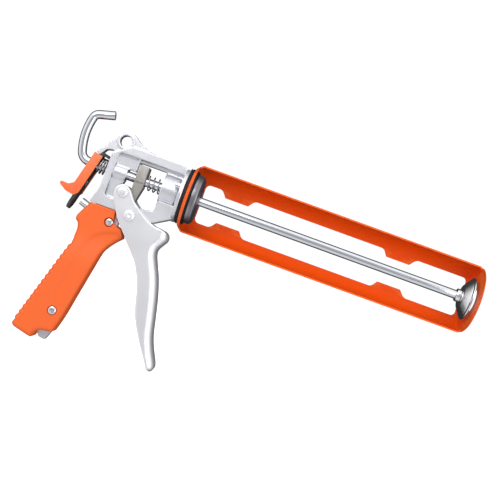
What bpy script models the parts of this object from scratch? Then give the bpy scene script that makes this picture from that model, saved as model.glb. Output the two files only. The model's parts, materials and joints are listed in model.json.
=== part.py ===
"""Caulking gun for a 310 ml cartridge: cast body, smooth push rod, turning half-tube cradle.

Sizes are in metres. The design frame has its origin on the push rod's axis at the cradle's back face:
+X runs along the rod to the muzzle, +Z is up, and the near side is -Y. At the end everything is
moved, so that the object's origin is the middle of the grip, where a hand holds it.
"""

import math

import bmesh
import bpy
from mathutils import Matrix, Vector

MM = 0.001

# General fits
GAP = 0.3 * MM              # between two pieces that touch
RUN = 0.3 * MM              # radial clearance of a hole round what passes through it

# Where the middle of the grip is, seen from the rod's axis at the cradle
GRIP_BEHIND_CRADLE = 68.0 * MM
GRIP_BELOW_ROD = 86.0 * MM

# Push rod and its hook
ROD_D = 7.0 * MM
HOOK_START_X = -81.4 * MM
HOOK_BENDS = (              # radius, turn in degrees, steps
    (8.0 * MM, 72.0, 8),
    (50.0 * MM, 32.0, 8),
    (5.5 * MM, 61.0, 7),
)
HOOK_TIP = 12.4 * MM        # straight end of the hook

# Cradle for the cartridge
PLATE_BACK = -1.0 * MM      # back face of the cradle's back plate
CRADLE_D = 54.6 * MM
CRADLE_L = 236.0 * MM
SHEET_T = 1.2 * MM
BACK_BEVEL = 4.3 * MM       # radial size of the bevel between back plate and tube
BACK_BEVEL_L = 4.0 * MM
BACK_CUP_L = 2.6 * MM       # full-round length at the back
FRONT_BEND = 4.6 * MM       # radius of the bend between tube and front plate
FRONT_LIP_L = 1.6 * MM      # length of the front end that stays full round
NOZZLE_HOLE_D = 18.0 * MM
WINDOW_BACK = 10.0 * MM     # the window in the wall starts this far from the cradle's back
WINDOW_FRONT = 5.0 * MM     # and ends this far from its front
WINDOW_HALF = 15.8 * MM
TAB_REACH = 5.3 * MM        # how far a tab narrows the window
TAB_L = 17.4 * MM           # length of a tab at its tip
TAB_ROOT = 5.0 * MM         # slope at each end of a tab
TAB_FROM_BACK = 37.0 * MM   # middle of the back tabs, from the cradle's back
TAB_FROM_FRONT = 62.0 * MM  # middle of the front tabs, from its front

# Stack that holds the cradle: flange, washer, plate, washer, nut
BACK_FLAT_D = CRADLE_D - 2 * BACK_BEVEL
FLANGE_D = BACK_FLAT_D - 2.0 * MM
FLANGE_T = 3.1 * MM
WASHER_REAR_D = FLANGE_D
WASHER_REAR_T = 1.9 * MM
WASHER_FRONT_D = BACK_FLAT_D - 3.4 * MM
WASHER_FRONT_T = 2.2 * MM
NUT_D = WASHER_FRONT_D - 3.6 * MM
NUT_CHAMFER = 2.2 * MM      # radial size of the chamfer on the nut's front face
NUT_T = 6.0 * MM
NUT_FLOOR = 1.6 * MM        # front wall of the nut, which closes round the rod
NOSE_WALL = 3.5 * MM        # of the threaded nose round the rod

# Casting
BODY_W = 18.0 * MM          # width of the body across the flats
WEB_W = 9.0 * MM            # width of the web and of the lug with the eye
BODY_BACK = -65.6 * MM      # back face of the rear wall
BODY_TOP = 21.6 * MM
BODY_BOTTOM = -28.6 * MM
WALL_FRONT = -60.5 * MM     # inner face of the rear wall
REAR_BOSS_D = 13.0 * MM
REAR_BOSS_FRONT = -49.8 * MM
FRONT_BOSS_D = 24.0 * MM
FRONT_BOSS_BACK = -21.0 * MM
FRONT_BOSS_FRONT = -8.2 * MM
POCKET_TOP = 14.8 * MM
WINDOW_TOP = 12.2 * MM
WINDOW_FLOOR = -20.4 * MM
ABUTMENT_T = 1.8 * MM
ABUTMENT_W = 15.0 * MM
PROUD = 0.5 * MM            # how far bosses and abutment stand into the window
EYE = (-59.1 * MM, 24.1 * MM)
EYE_D = 9.2 * MM
EYE_RIM_D = 12.8 * MM
EYE_RIM_W = 10.2 * MM
TANG_W = 6.0 * MM
DOWEL_D = 4.4 * MM          # small pin behind the flange
DOWEL_OUT = 4.6 * MM        # how far it stands out of the flange
DOWEL_IN = 1.6 * MM

# Trigger and its pins
PIVOT = (-36.4 * MM, -28.7 * MM)
DRIVE_PIN = (-47.0 * MM, -13.4 * MM)
CHEEK_GAP = 0.6 * MM        # between body and trigger cheek
CHEEK_T = 3.0 * MM
TRIGGER_WALL = 3.4 * MM     # finger wall of the trigger
RIVET_D = 5.0 * MM
RIVET_HEAD_D = 8.5 * MM
RIVET_HEAD_H = 2.0 * MM

# Drive block
BLOCK_BACK = -42.6 * MM
BLOCK_T = 8.0 * MM
BLOCK_TOP = 11.0 * MM
BLOCK_STEP = -2.0 * MM
BLOCK_BOTTOM = -17.4 * MM
BLOCK_W = 16.0 * MM
BLOCK_FOOT_W = 13.0 * MM

# Springs
RETURN_SPRING_D = ROD_D + 5.0 * MM
RETURN_WIRE = 1.1 * MM
RETURN_TURNS = 3.0
RELEASE_SPRING_D = ROD_D + 6.0 * MM
RELEASE_WIRE = 1.2 * MM
RELEASE_TURNS = 3.0

# Release lever, drawn in its own frame: origin at the hinge, plate upright, then tilted
HINGE = (-68.6 * MM, 8.3 * MM)
PLATE_TILT = math.radians(14.2)
PLATE_FACE = -2.8 * MM      # front face of the plate
PLATE_T = 2.4 * MM
PLATE_W = 14.0 * MM
PLATE_L = 50.0 * MM
TONGUE_T = 2.4 * MM
TONGUE_W = 8.0 * MM
LEVER_W = 18.0 * MM
LEVER_WALL = 1.5 * MM
LEVER_FRONT = -2.2 * MM
LEVER_BACK = -9.2 * MM
LEVER_TOP = -2.2 * MM
LEVER_FLANGE_L = 35.5 * MM
TAB_REACH_BACK = 9.2 * MM   # how far the thumb tab stands out behind the lever
LEVER_RIVET_Z = -26.0 * MM
LEVER_RIVET_D = 3.0 * MM

# Stop stud
STUD_D = 6.0 * MM
STUD_SHANK_D = 3.4 * MM
STUD_TIP = (-76.5 * MM, -30.6 * MM)
STUD_HEAD_L = 10.5 * MM
STUD_SHANK_L = 5.0 * MM
STUD_RISE = math.radians(18.0)

# Grip halves
GRIP_W = 25.0 * MM          # full width of the handle
GRIP_TOP_W = BODY_W         # width where the trigger's cheeks pass
GRIP_SLOPE_TOP = -56.0 * MM
GRIP_SLOPE_END = -76.0 * MM
SERRATIONS = 15
SERRATION_DEPTH = 1.1 * MM
SERRATED_FROM = (-71.5 * MM, -63.9 * MM)
SERRATED_TO = (-91.8 * MM, -131.9 * MM)
SCREW_UPPER = (-49.7 * MM, -38.8 * MM)
SCREW_LOWER = (-67.1 * MM, -116.6 * MM)
SCREW_D = 3.6 * MM
SCREW_HEAD_D = 6.6 * MM
SCREW_HEAD_H = 1.6 * MM
COUNTERBORE_DEPTH = 2.6 * MM
NUT_POCKET_DEPTH = 3.6 * MM
HEX_NUT_ACROSS = 6.4 * MM
HEX_NUT_H = 2.6 * MM

# Piston
DISH_D = 34.0 * MM
DISH_CLEAR = 3.0 * MM       # between the dish, fully forward, and the front plate
DISH_DEPTH = 6.8 * MM
DISH_FLOOR_D = 19.0 * MM    # flat middle of the dish
DISH_T = 1.3 * MM
HUB_D = 10.5 * MM
HUB_L = 3.5 * MM
PISTON_NUT_D = 11.0 * MM
PISTON_NUT_T = 3.0 * MM
ROD_STEP = 1.0 * MM         # how much the rod's end is reduced, inside dish and nut

# Places that follow from the stack
PLATE_FRONT = PLATE_BACK + SHEET_T
CRADLE_FRONT = PLATE_BACK + CRADLE_L
WASHER_FRONT_BACK = PLATE_FRONT + GAP
NUT_BACK = WASHER_FRONT_BACK + WASHER_FRONT_T + GAP
NUT_FRONT = NUT_BACK + NUT_T
NOSE_FRONT = NUT_FRONT - NUT_FLOOR
WASHER_REAR_FRONT = PLATE_BACK - GAP
FLANGE_FRONT = WASHER_REAR_FRONT - WASHER_REAR_T - GAP
FLANGE_BACK = FLANGE_FRONT - FLANGE_T
ROD_HOLE_D = ROD_D + 2 * RUN
ROD_STUD_D = ROD_D - 2 * ROD_STEP
NOSE_D = ROD_D + 2 * NOSE_WALL
NOSE_HOLE_D = NOSE_D + 2 * RUN
CHEEK_IN = BODY_W / 2 + CHEEK_GAP
CHEEK_OUT = CHEEK_IN + CHEEK_T
BLOCK_FRONT = BLOCK_BACK + BLOCK_T
ABUTMENT_FRONT = BLOCK_BACK - GAP
ROLLER_R = BLOCK_BACK - GAP - DRIVE_PIN[0]
DISH_FACE_X = CRADLE_FRONT - SHEET_T - DISH_CLEAR
DISH_BACK_X = DISH_FACE_X - DISH_DEPTH
ROD_SHOULDER_X = DISH_BACK_X - 0.5 * MM

COLLECTION = "caulking_gun"
CUTTERS = "cutters"

COLOURS = {                 # base colour, roughness, metallic
    "cast_aluminium": ((0.62, 0.63, 0.66, 1), 0.42, 0.9),
    "satin_aluminium": ((0.76, 0.77, 0.80, 1), 0.35, 0.85),
    "orange_plastic": ((0.95, 0.18, 0.05, 1), 0.45, 0.0),
    "orange_paint": ((0.95, 0.10, 0.005, 1), 0.30, 0.0),
    "chrome": ((0.80, 0.82, 0.84, 1), 0.10, 1.0),
    "zinc": ((0.72, 0.72, 0.74, 1), 0.28, 1.0),
    "turned_steel": ((0.45, 0.44, 0.47, 1), 0.35, 0.9),
    "sintered_steel": ((0.38, 0.37, 0.35, 1), 0.60, 0.7),
    "black_rubber": ((0.012, 0.012, 0.013, 1), 0.60, 0.0),
    "black_steel": ((0.015, 0.015, 0.016, 1), 0.40, 0.5),
    "spring_steel": ((0.20, 0.20, 0.21, 1), 0.30, 1.0),
}


# Scene and materials

def clear_scene():
    for old in list(bpy.data.objects):
        bpy.data.objects.remove(old, do_unlink=True)


def make_collection(name):
    found = bpy.data.collections.new(name)
    bpy.context.scene.collection.children.link(found)
    return found


def material(name):
    if name in bpy.data.materials:
        return bpy.data.materials[name]
    colour, roughness, metallic = COLOURS[name]
    made = bpy.data.materials.new(name)
    made.use_nodes = True
    shader = made.node_tree.nodes["Principled BSDF"]
    shader.inputs["Base Color"].default_value = colour
    shader.inputs["Roughness"].default_value = roughness
    shader.inputs["Metallic"].default_value = metallic
    made.diffuse_color = colour
    return made


def add_object(name, data, collection=COLLECTION):
    made = bpy.data.objects.new(name, data)
    bpy.data.collections[collection].objects.link(made)
    return made


def finish(obj, finish_name):
    """Gives a piece its material, smooth shading on round faces and sharp edges elsewhere."""
    obj.data.materials.clear()
    obj.data.materials.append(material(finish_name))
    obj.data.shade_smooth()
    obj.data.set_sharp_from_angle(angle=math.radians(35))
    return obj


# Outlines in the X-Z plane

def in_mm(points):
    return [tuple(value * MM for value in point) for point in points]


def rounded(corners, steps=5):
    """Points of a closed outline from corners (x, z, radius); each radius becomes an arc."""
    points = []
    for i, corner in enumerate(corners):
        here = Vector(corner[:2])
        radius = corner[2] if len(corner) > 2 else 0.0
        to_last = Vector(corners[i - 1][:2]) - here
        to_next = Vector(corners[(i + 1) % len(corners)][:2]) - here
        half = to_last.angle(to_next) / 2
        radius = min(radius, 0.49 * min(to_last.length, to_next.length) * math.tan(half))
        if radius <= 0 or half > math.radians(89):
            points.append(here)
            continue
        to_last.normalize()
        to_next.normalize()
        middle = here + (to_last + to_next).normalized() * radius / math.sin(half)
        first = here + to_last * radius / math.tan(half) - middle
        last = here + to_next * radius / math.tan(half) - middle
        sweep = first.angle_signed(last)
        for step in range(steps + 1):
            turn = Matrix.Rotation(-sweep * step / steps, 2)
            points.append(middle + turn @ first)
    return points


def grown(points, distance):
    """The outline moved outwards by a distance; it runs clockwise or counter-clockwise."""
    area = sum(a.x * b.y - b.x * a.y for a, b in zip(points, points[1:] + points[:1]))
    side = 1 if area > 0 else -1
    moved = []
    for i, here in enumerate(points):
        into = (here - points[i - 1]).normalized()
        out = (points[(i + 1) % len(points)] - here).normalized()
        normal_a = Vector((into.y, -into.x)) * side
        normal_b = Vector((out.y, -out.x)) * side
        middle = (normal_a + normal_b).normalized()
        moved.append(here + middle * distance / max(0.3, middle.dot(normal_a)))
    return moved


def to_mesh(curve_object, name, collection=COLLECTION):
    """Turns a curve object into a mesh object in the same place, with its caps welded on."""
    bpy.context.view_layer.update()
    evaluated = curve_object.evaluated_get(bpy.context.evaluated_depsgraph_get())
    mesh = bpy.data.meshes.new_from_object(evaluated)
    mesh.name = name
    mesh.transform(curve_object.matrix_world)
    work = bmesh.new()
    work.from_mesh(mesh)
    bmesh.ops.remove_doubles(work, verts=work.verts, dist=0.001 * MM)
    bmesh.ops.recalc_face_normals(work, faces=work.faces)
    work.to_mesh(mesh)
    work.free()
    bpy.data.objects.remove(curve_object, do_unlink=True)
    return add_object(name, mesh, collection)


def slab(name, points, y_from, y_to, collection=COLLECTION):
    """An X-Z outline made thick between two places along Y."""
    curve = bpy.data.curves.new(name, "CURVE")
    curve.dimensions = "2D"
    curve.fill_mode = "BOTH"
    curve.extrude = (y_to - y_from) / 2
    spline = curve.splines.new("POLY")
    spline.points.add(len(points) - 1)
    for place, point in zip(spline.points, points):
        place.co = (point[0], point[1], 0, 1)
    spline.use_cyclic_u = True
    drawn = add_object(name + "_outline", curve, collection)
    drawn.rotation_euler = (math.pi / 2, 0, 0)
    drawn.location.y = (y_from + y_to) / 2
    return to_mesh(drawn, name, collection)


def wire(name, route, diameter, bevel_resolution):
    """A round wire or rod along a list of points, with closed ends."""
    curve = bpy.data.curves.new(name, "CURVE")
    curve.dimensions = "3D"
    curve.bevel_depth = diameter / 2
    curve.bevel_resolution = bevel_resolution
    curve.use_fill_caps = True
    spline = curve.splines.new("POLY")
    spline.points.add(len(route) - 1)
    for place, point in zip(spline.points, route):
        place.co = (*point, 1)
    return to_mesh(add_object(name + "_path", curve), name)


# Turned pieces and drums

def drum(name, radius, x_from, x_to, at=(0.0, 0.0), sides=32, collection=COLLECTION):
    """A cylinder along X whose axis passes through at = (y, z)."""
    return round_bar(name, radius, (x_from, at[0], at[1]), (x_to, at[0], at[1]), sides, collection)


def pin(name, radius, at, y_from, y_to, sides=24, collection=COLLECTION):
    """A cylinder along Y whose axis passes through at = (x, z)."""
    return round_bar(name, radius, (at[0], y_from, at[1]), (at[0], y_to, at[1]), sides, collection)


def round_bar(name, radius, start, end, sides=32, collection=COLLECTION):
    start, end = Vector(start), Vector(end)
    mesh = bpy.data.meshes.new(name)
    work = bmesh.new()
    bmesh.ops.create_cone(
        work, cap_ends=True, segments=sides, radius1=radius, radius2=radius, depth=(end - start).length
    )
    turn = (end - start).to_track_quat("Z", "Y").to_matrix().to_4x4()
    work.transform(Matrix.Translation((start + end) / 2) @ turn)
    work.to_mesh(mesh)
    work.free()
    return add_object(name, mesh, collection)


def block(name, low, high, collection=COLLECTION):
    """A box between two corners."""
    low, high = Vector(low), Vector(high)
    mesh = bpy.data.meshes.new(name)
    work = bmesh.new()
    bmesh.ops.create_cube(work, size=1)
    work.transform(Matrix.Translation((low + high) / 2) @ Matrix.Diagonal((*(high - low), 1)))
    work.to_mesh(mesh)
    work.free()
    return add_object(name, mesh, collection)


def turned(name, profile, sides=48, collection=COLLECTION):
    """A closed ring profile of (x, radius), turned about the X axis and fixed as a mesh."""
    mesh = bpy.data.meshes.new(name)
    corners = [(x, 0.0, radius) for x, radius in profile]
    edges = [(i, (i + 1) % len(corners)) for i in range(len(corners))]
    mesh.from_pydata(corners, edges, [])
    shape = add_object(name + "_profile", mesh, collection)
    screw = shape.modifiers.new("turn", "SCREW")
    screw.axis = "X"
    screw.steps = sides
    screw.render_steps = sides
    screw.use_merge_vertices = True
    screw.merge_threshold = 0.00001
    return to_mesh(shape, name, collection)


# Joining and cutting

def boolean(obj, tool, operation):
    step = obj.modifiers.new(tool.name, "BOOLEAN")
    step.operation = operation
    step.solver = "EXACT"
    step.object = tool


def fix_shape(obj):
    """Applies the modifiers of a piece by keeping the mesh that they make."""
    bpy.context.view_layer.update()
    evaluated = obj.evaluated_get(bpy.context.evaluated_depsgraph_get())
    mesh = bpy.data.meshes.new_from_object(evaluated)
    obj.modifiers.clear()
    obj.data = mesh


def join(obj, *others):
    """Unites solids that cross each other into one body."""
    for other in others:
        boolean(obj, other, "UNION")
        fix_shape(obj)
        bpy.data.objects.remove(other, do_unlink=True)
    return obj


def cut(obj, *cutters):
    """Takes each cutter away from a piece; the cutters stay in their own collection."""
    for cutter in cutters:
        if cutter.users_collection[0].name != CUTTERS:
            raise ValueError(cutter.name + " isn't a cutter")
        cutter.hide_render = True
        cutter.display_type = "WIRE"
        boolean(obj, cutter, "DIFFERENCE")
    return obj


def soften(obj, width, segments=1, angle=35.0):
    bevel = obj.modifiers.new("soft_edges", "BEVEL")
    bevel.width = width
    bevel.segments = segments
    bevel.limit_method = "ANGLE"
    bevel.angle_limit = math.radians(angle)
    bevel.harden_normals = False
    return obj


def cut_slab(name, points, y_from, y_to):
    return slab(name, points, y_from, y_to, CUTTERS)


def cut_pin(name, radius, at, y_from, y_to, sides=24):
    return pin(name, radius, at, y_from, y_to, sides, CUTTERS)


def cut_drum(name, radius, x_from, x_to, at=(0.0, 0.0), sides=32):
    return drum(name, radius, x_from, x_to, at, sides, CUTTERS)


# Casting

def tang_outline():
    """The flat bar inside the grip, from the pivot lug to the handle's end."""
    return rounded(in_mm([
        (-64.5, -26.0), (-42.0, -26.0), (-44.0, -45.0, 6), (-51.4, -67.2, 30),
        (-61.6, -129.0, 20), (-66.3, -141.0, 1.5), (-72.3, -139.8, 1.5), (-79.2, -123.0, 10),
        (-66.0, -61.2, 20), (-65.0, -46.2, 10),
    ]))


def body_outline():
    back = BODY_BACK / MM
    top = BODY_TOP / MM
    bottom = BODY_BOTTOM / MM
    front = (FLANGE_BACK + FLANGE_T / 2) / MM
    return rounded(in_mm([
        (front, top), (-52.0, top, 4), (back, 12.5, 3), (back, -17.0, 12), (-69.6, bottom, 0.5),
        (-47.4, bottom, 1.5), (-45.6, -34.0, 2), (-38.5, -37.4, 6), (-30.0, -36.4, 7),
        (-26.5, -30.0, 5), (-18.3, -28.3, 5), (front, -19.6),
    ]))


def lug_outline():
    """Eye for hanging and the hook that the release plate hinges in, in one flat lug."""
    return rounded(in_mm([
        (-30.0, 21.6), (-38.7, 22.4, 30), (-47.3, 25.6, 12), (-54.7, 31.4, 7), (-61.5, 32.3, 6),
        (-65.4, 26.8, 4), (-71.6, 18.0, 0.8), (-70.9, 17.4, 0.4), (-77.9, 9.8, 0.8), (-74.9, 7.2, 0.8),
        (-70.9, 13.4, 1.2), (-66.2, 14.6, 0.6), (-62.0, 11.0), (-62.0, 4.0), (-50.0, 4.0),
    ]))


def pocket_outline():
    """Recess on both sides of the body, down to the web."""
    low = FRONT_BOSS_BACK / MM
    return rounded(in_mm([
        (WALL_FRONT / MM, POCKET_TOP / MM, 3), (FLANGE_BACK / MM - 1.4, POCKET_TOP / MM, 1.5),
        (FLANGE_BACK / MM - 1.4, -10.5, 1.5), (low + 1.0, -10.5, 1), (low, -19.4, 1.5),
        (-31.0, WINDOW_FLOOR / MM - 0.6, 2), (WALL_FRONT / MM, WINDOW_FLOOR / MM, 2),
    ]))


def window_outline():
    """Opening right through the body, where drive block, roller and return spring work."""
    back = (ABUTMENT_FRONT - PROUD) / MM
    boss = (REAR_BOSS_FRONT - PROUD) / MM
    low_back = (DRIVE_PIN[0] - ROLLER_R) / MM - 0.6
    front = (FRONT_BOSS_BACK + PROUD) / MM
    return rounded(in_mm([
        (back, WINDOW_TOP / MM), (front, WINDOW_TOP / MM, 1), (front, -19.4, 1.5),
        (-31.0, WINDOW_FLOOR / MM - 0.6, 2), (low_back, WINDOW_FLOOR / MM, 1), (low_back, -7.8, 0.5),
        (boss, -7.8), (boss, 4.6), (back, 4.6),
    ]))


def make_casting():
    half = BODY_W / 2
    body = slab("frame_casting", body_outline(), -half, half)
    pocket = pocket_outline()
    past = 1.0 * MM
    cut(body,
        cut_slab("pocket_near", pocket, -half - past, -WEB_W / 2),
        cut_slab("pocket_far", pocket, WEB_W / 2, half + past))
    fix_shape(body)
    lug = slab("lug", lug_outline(), -WEB_W / 2, WEB_W / 2)
    rim = pin("eye_rim", EYE_RIM_D / 2, EYE, -EYE_RIM_W / 2, EYE_RIM_W / 2, 28)
    tang = slab("tang", tang_outline(), -TANG_W / 2, TANG_W / 2)
    join(body, lug, rim, tang)
    cut(body, cut_slab("body_window", window_outline(), -half - past, half + past))
    fix_shape(body)
    overlap = 0.4 * MM
    abutment = block("abutment", (ABUTMENT_FRONT - ABUTMENT_T, -ABUTMENT_W / 2, 5.0 * MM),
                     (ABUTMENT_FRONT, ABUTMENT_W / 2, POCKET_TOP + overlap))
    rear_boss = drum("rear_boss", REAR_BOSS_D / 2, WALL_FRONT - overlap, REAR_BOSS_FRONT, sides=28)
    front_boss = drum("front_boss", FRONT_BOSS_D / 2, FRONT_BOSS_BACK, FRONT_BOSS_FRONT, sides=36)
    neck = drum("neck", FRONT_BOSS_D / 2 - 2.0 * MM, FRONT_BOSS_FRONT - overlap, FLANGE_BACK + overlap)
    flange = drum("flange", FLANGE_D / 2, FLANGE_BACK, FLANGE_FRONT, sides=48)
    nose = drum("nose", NOSE_D / 2, FLANGE_FRONT - overlap, NOSE_FRONT, sides=28)
    join(body, abutment, rear_boss, front_boss, neck, flange, nose)
    cut(body,
        cut_drum("rod_bore", ROD_HOLE_D / 2, BODY_BACK - past * 6, NOSE_FRONT + past, sides=24),
        cut_pin("eye_hole", EYE_D / 2, EYE, -half, half, 28),
        cut_pin("pivot_bore", RIVET_D / 2 + RUN, PIVOT, -half - past, half + past),
        cut_pin("screw_hole_upper", SCREW_D / 2 + RUN, SCREW_UPPER, -half, half, 16),
        cut_pin("screw_hole_lower", SCREW_D / 2 + RUN, SCREW_LOWER, -half, half, 16),
        round_bar("stud_hole", STUD_SHANK_D / 2 + RUN, stud_point(STUD_HEAD_L - 2 * MM),
                  stud_point(STUD_HEAD_L + STUD_SHANK_L + GAP), 16, CUTTERS),
        dowel("dowel_hole", GAP, CUTTERS))
    fix_shape(body)
    return finish(body, "cast_aluminium")


def dowel(name, grow=0.0, collection=COLLECTION):
    """Small pin along X that stands in the flange's back."""
    return drum(name, DOWEL_D / 2 + grow, FLANGE_BACK - DOWEL_OUT, FLANGE_BACK + DOWEL_IN + grow,
                (-FRONT_BOSS_D / 2 - DOWEL_D / 2 - 2 * GAP, 5.6 * MM), 16, collection)


def stud_point(along):
    """A point on the stop stud's axis, counted from its free end."""
    return (STUD_TIP[0] + along * math.cos(STUD_RISE), 0.0, STUD_TIP[1] - along * math.sin(STUD_RISE))


def make_stop_stud():
    head = round_bar("stop_stud", STUD_D / 2, stud_point(0), stud_point(STUD_HEAD_L), 20)
    shank = round_bar("stud_shank", STUD_SHANK_D / 2, stud_point(STUD_HEAD_L - MM),
                      stud_point(STUD_HEAD_L + STUD_SHANK_L), 16)
    join(head, shank)
    return finish(head, "zinc")


# Cradle and what holds it

def bend_points(centre, radius, start_deg, end_deg, steps=3):
    """Points of an arc, as (x, radius) about a centre."""
    points = []
    for step in range(steps + 1):
        angle = math.radians(start_deg + (end_deg - start_deg) * step / steps)
        points.append((centre[0] + radius * math.cos(angle), centre[1] + radius * math.sin(angle)))
    return points


def cradle_profile():
    """Section of the full-round shell: outer side first, then back along the inner side."""
    outer_r = CRADLE_D / 2
    inner_r = outer_r - SHEET_T
    hole_r = NOSE_HOLE_D / 2
    flat_r = BACK_FLAT_D / 2
    nozzle_r = NOZZLE_HOLE_D / 2
    back, front = PLATE_BACK, CRADLE_FRONT
    bend = (front - FRONT_BEND, outer_r - FRONT_BEND)
    return [
        (back, hole_r), (back, flat_r), (back + BACK_BEVEL_L, outer_r),
        *bend_points(bend, FRONT_BEND, 90, 0), (front, nozzle_r), (front - SHEET_T, nozzle_r),
        *bend_points(bend, FRONT_BEND - SHEET_T, 0, 90), (back + BACK_BEVEL_L + SHEET_T * 0.4, inner_r),
        (back + SHEET_T, flat_r - SHEET_T * 0.4), (back + SHEET_T, hole_r),
    ]


def window_in_wall():
    """Outline of the long opening in the wall, with the tabs that narrow it."""
    start = PLATE_BACK + WINDOW_BACK
    end = CRADLE_FRONT - WINDOW_FRONT
    corner = 4 * MM
    upper = [(start, WINDOW_HALF, corner)]
    for centre in (PLATE_BACK + TAB_FROM_BACK, CRADLE_FRONT - TAB_FROM_FRONT):
        tip = TAB_L / 2
        narrow = WINDOW_HALF - TAB_REACH
        upper += [
            (centre - tip - TAB_ROOT, WINDOW_HALF, corner), (centre - tip, narrow, 1.5 * MM),
            (centre + tip, narrow, 1.5 * MM), (centre + tip + TAB_ROOT, WINDOW_HALF, corner),
        ]
    upper.append((end, WINDOW_HALF, corner))
    lower = [(x, -z, radius) for x, z, radius in reversed(upper)]
    return rounded(upper + lower, 4)


def make_cradle():
    sides = 64
    cradle = turned("cradle", cradle_profile(), sides)
    # Turned by half a facet, so that the cut along the axis crosses the facets and not their corners
    cradle.data.transform(Matrix.Rotation(math.pi / sides, 4, "X"))
    reach = CRADLE_D / 2 + 2 * MM
    near_half = block("near_half", (PLATE_BACK + BACK_CUP_L, -reach, -reach),
                      (CRADLE_FRONT - FRONT_LIP_L, 0, reach), CUTTERS)
    window = cut_slab("cradle_window", window_in_wall(), CRADLE_D / 4, reach)
    cut(cradle, near_half, window)
    fix_shape(cradle)
    return finish(cradle, "orange_paint")


def ring(name, outer_d, inner_d, x_from, x_to, finish_name, sides=48):
    made = turned(name, [(x_from, inner_d / 2), (x_from, outer_d / 2),
                         (x_to, outer_d / 2), (x_to, inner_d / 2)], sides)
    return finish(made, finish_name)


def make_washers():
    front = ring("washer_front", WASHER_FRONT_D, NOSE_HOLE_D, WASHER_FRONT_BACK,
                 WASHER_FRONT_BACK + WASHER_FRONT_T, "black_rubber")
    rear = ring("washer_rear", WASHER_REAR_D, NOSE_HOLE_D, WASHER_REAR_FRONT - WASHER_REAR_T,
                WASHER_REAR_FRONT, "black_rubber")
    return [front, rear]


def make_retaining_nut():
    """Turned nut: it screws on the nose, and its thin face closes round the rod."""
    bore = NOSE_HOLE_D / 2
    face_bore = ROD_HOLE_D / 2 + 0.6 * MM
    seat = NOSE_FRONT + GAP
    profile = [
        (NUT_BACK, bore), (NUT_BACK, NUT_D / 2), (NUT_FRONT - 1.4 * MM, NUT_D / 2),
        (NUT_FRONT, NUT_D / 2 - NUT_CHAMFER), (NUT_FRONT, face_bore), (seat, face_bore), (seat, bore),
    ]
    return finish(turned("retaining_nut", profile, 48), "turned_steel")


# Grip

def grip_outline():
    """Side view of the grip; the teeth down its back are added by a loop."""
    start = Vector(SERRATED_FROM)
    step = (Vector(SERRATED_TO) - start) / SERRATIONS
    out = Vector((step.y, -step.x)).normalized() * SERRATION_DEPTH
    top = (BODY_BOTTOM - GAP) / MM
    outline = rounded(in_mm([
        (-35.7, -47.0, 0.8), (-39.0, -41.4, 2), (-46.6, -38.2, 2), (-47.9, top, 0.6), (-68.4, top, 1.0),
        (-72.9, -37.8, 3), (-75.3, -42.7, 1.5), (-74.1, -45.8, 1.0), (-71.8, -48.7, 2), (-71.4, -57.2, 10),
    ]))
    for tooth in range(SERRATIONS):
        root = start + step * tooth
        outline += [root, root + step * 0.25 + out, root + step * 0.7 + out]
    outline += rounded(in_mm([
        (-91.8, -131.9), (-93.2, -136.3, 1.5), (-88.7, -138.7, 2), (-75.9, -141.8, 1), (-74.3, -136.4, 2),
        (-70.7, -133.4, 2), (-61.9, -132.6, 1.5), (-58.1, -113.2), (-48.4, -66.7, 14), (-44.0, -56.7, 30),
    ]))
    return outline


def grip_width_cutters(name, side):
    """Takes the upper part of a half down to the width that passes between the cheeks."""
    top_y = GRIP_TOP_W / 2
    full_y = GRIP_W / 2
    reach = 40 * MM
    section = [
        (top_y, 0.0), (top_y, GRIP_SLOPE_TOP), (full_y, GRIP_SLOPE_END), (full_y + reach, GRIP_SLOPE_END),
        (full_y + reach, 0.0),
    ]
    mesh = bpy.data.meshes.new(name)
    work = bmesh.new()
    ends = []
    for x in (-110 * MM, -10 * MM):
        ends.append(work.faces.new([work.verts.new((x, side * y, z)) for y, z in section]))
    loops = [list(face.verts) for face in ends]
    for i in range(len(section)):
        j = (i + 1) % len(section)
        work.faces.new((loops[0][i], loops[0][j], loops[1][j], loops[1][i]))
    bmesh.ops.recalc_face_normals(work, faces=work.faces)
    work.to_mesh(mesh)
    work.free()
    return add_object(name, mesh, CUTTERS)


def make_grip_half(name, side):
    inner = GAP / 2
    outer = GRIP_W / 2
    y_from, y_to = sorted((side * inner, side * outer))
    half = slab(name, grip_outline(), y_from, y_to)
    pocket_edges = sorted((-side * 1 * MM, side * (TANG_W / 2 + GAP)))
    cut(half,
        grip_width_cutters(name + "_slope", side),
        cut_slab(name + "_tang_pocket", grown(tang_outline(), GAP), *pocket_edges),
        round_bar(name + "_stud_groove", STUD_D / 2 + GAP, stud_point(-3 * MM),
                  stud_point(STUD_HEAD_L + GAP), 20, CUTTERS),
        round_bar(name + "_shank_groove", STUD_SHANK_D / 2 + GAP, stud_point(STUD_HEAD_L),
                  stud_point(STUD_HEAD_L + STUD_SHANK_L + GAP), 20, CUTTERS))
    for at, width, label in ((SCREW_UPPER, GRIP_TOP_W, "upper"), (SCREW_LOWER, GRIP_W, "lower")):
        face = width / 2
        hole = sorted((-side * MM, side * (face + MM)))
        cut(half, cut_pin(f"{name}_hole_{label}", SCREW_D / 2 + RUN, at, *hole, 16))
        if side < 0:
            seat = -(face - COUNTERBORE_DEPTH)
            cut(half, cut_pin(f"{name}_bore_{label}", SCREW_HEAD_D / 2 + RUN, at, -face - MM, seat))
        else:
            seat = face - NUT_POCKET_DEPTH
            cut(half, cut_pin(f"{name}_pocket_{label}", hex_radius(RUN), at, seat, face + MM, 6))
    fix_shape(half)
    return finish(half, "orange_plastic")


def hex_radius(grow=0.0):
    return (HEX_NUT_ACROSS / 2 + grow) / math.cos(math.pi / 6)


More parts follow.
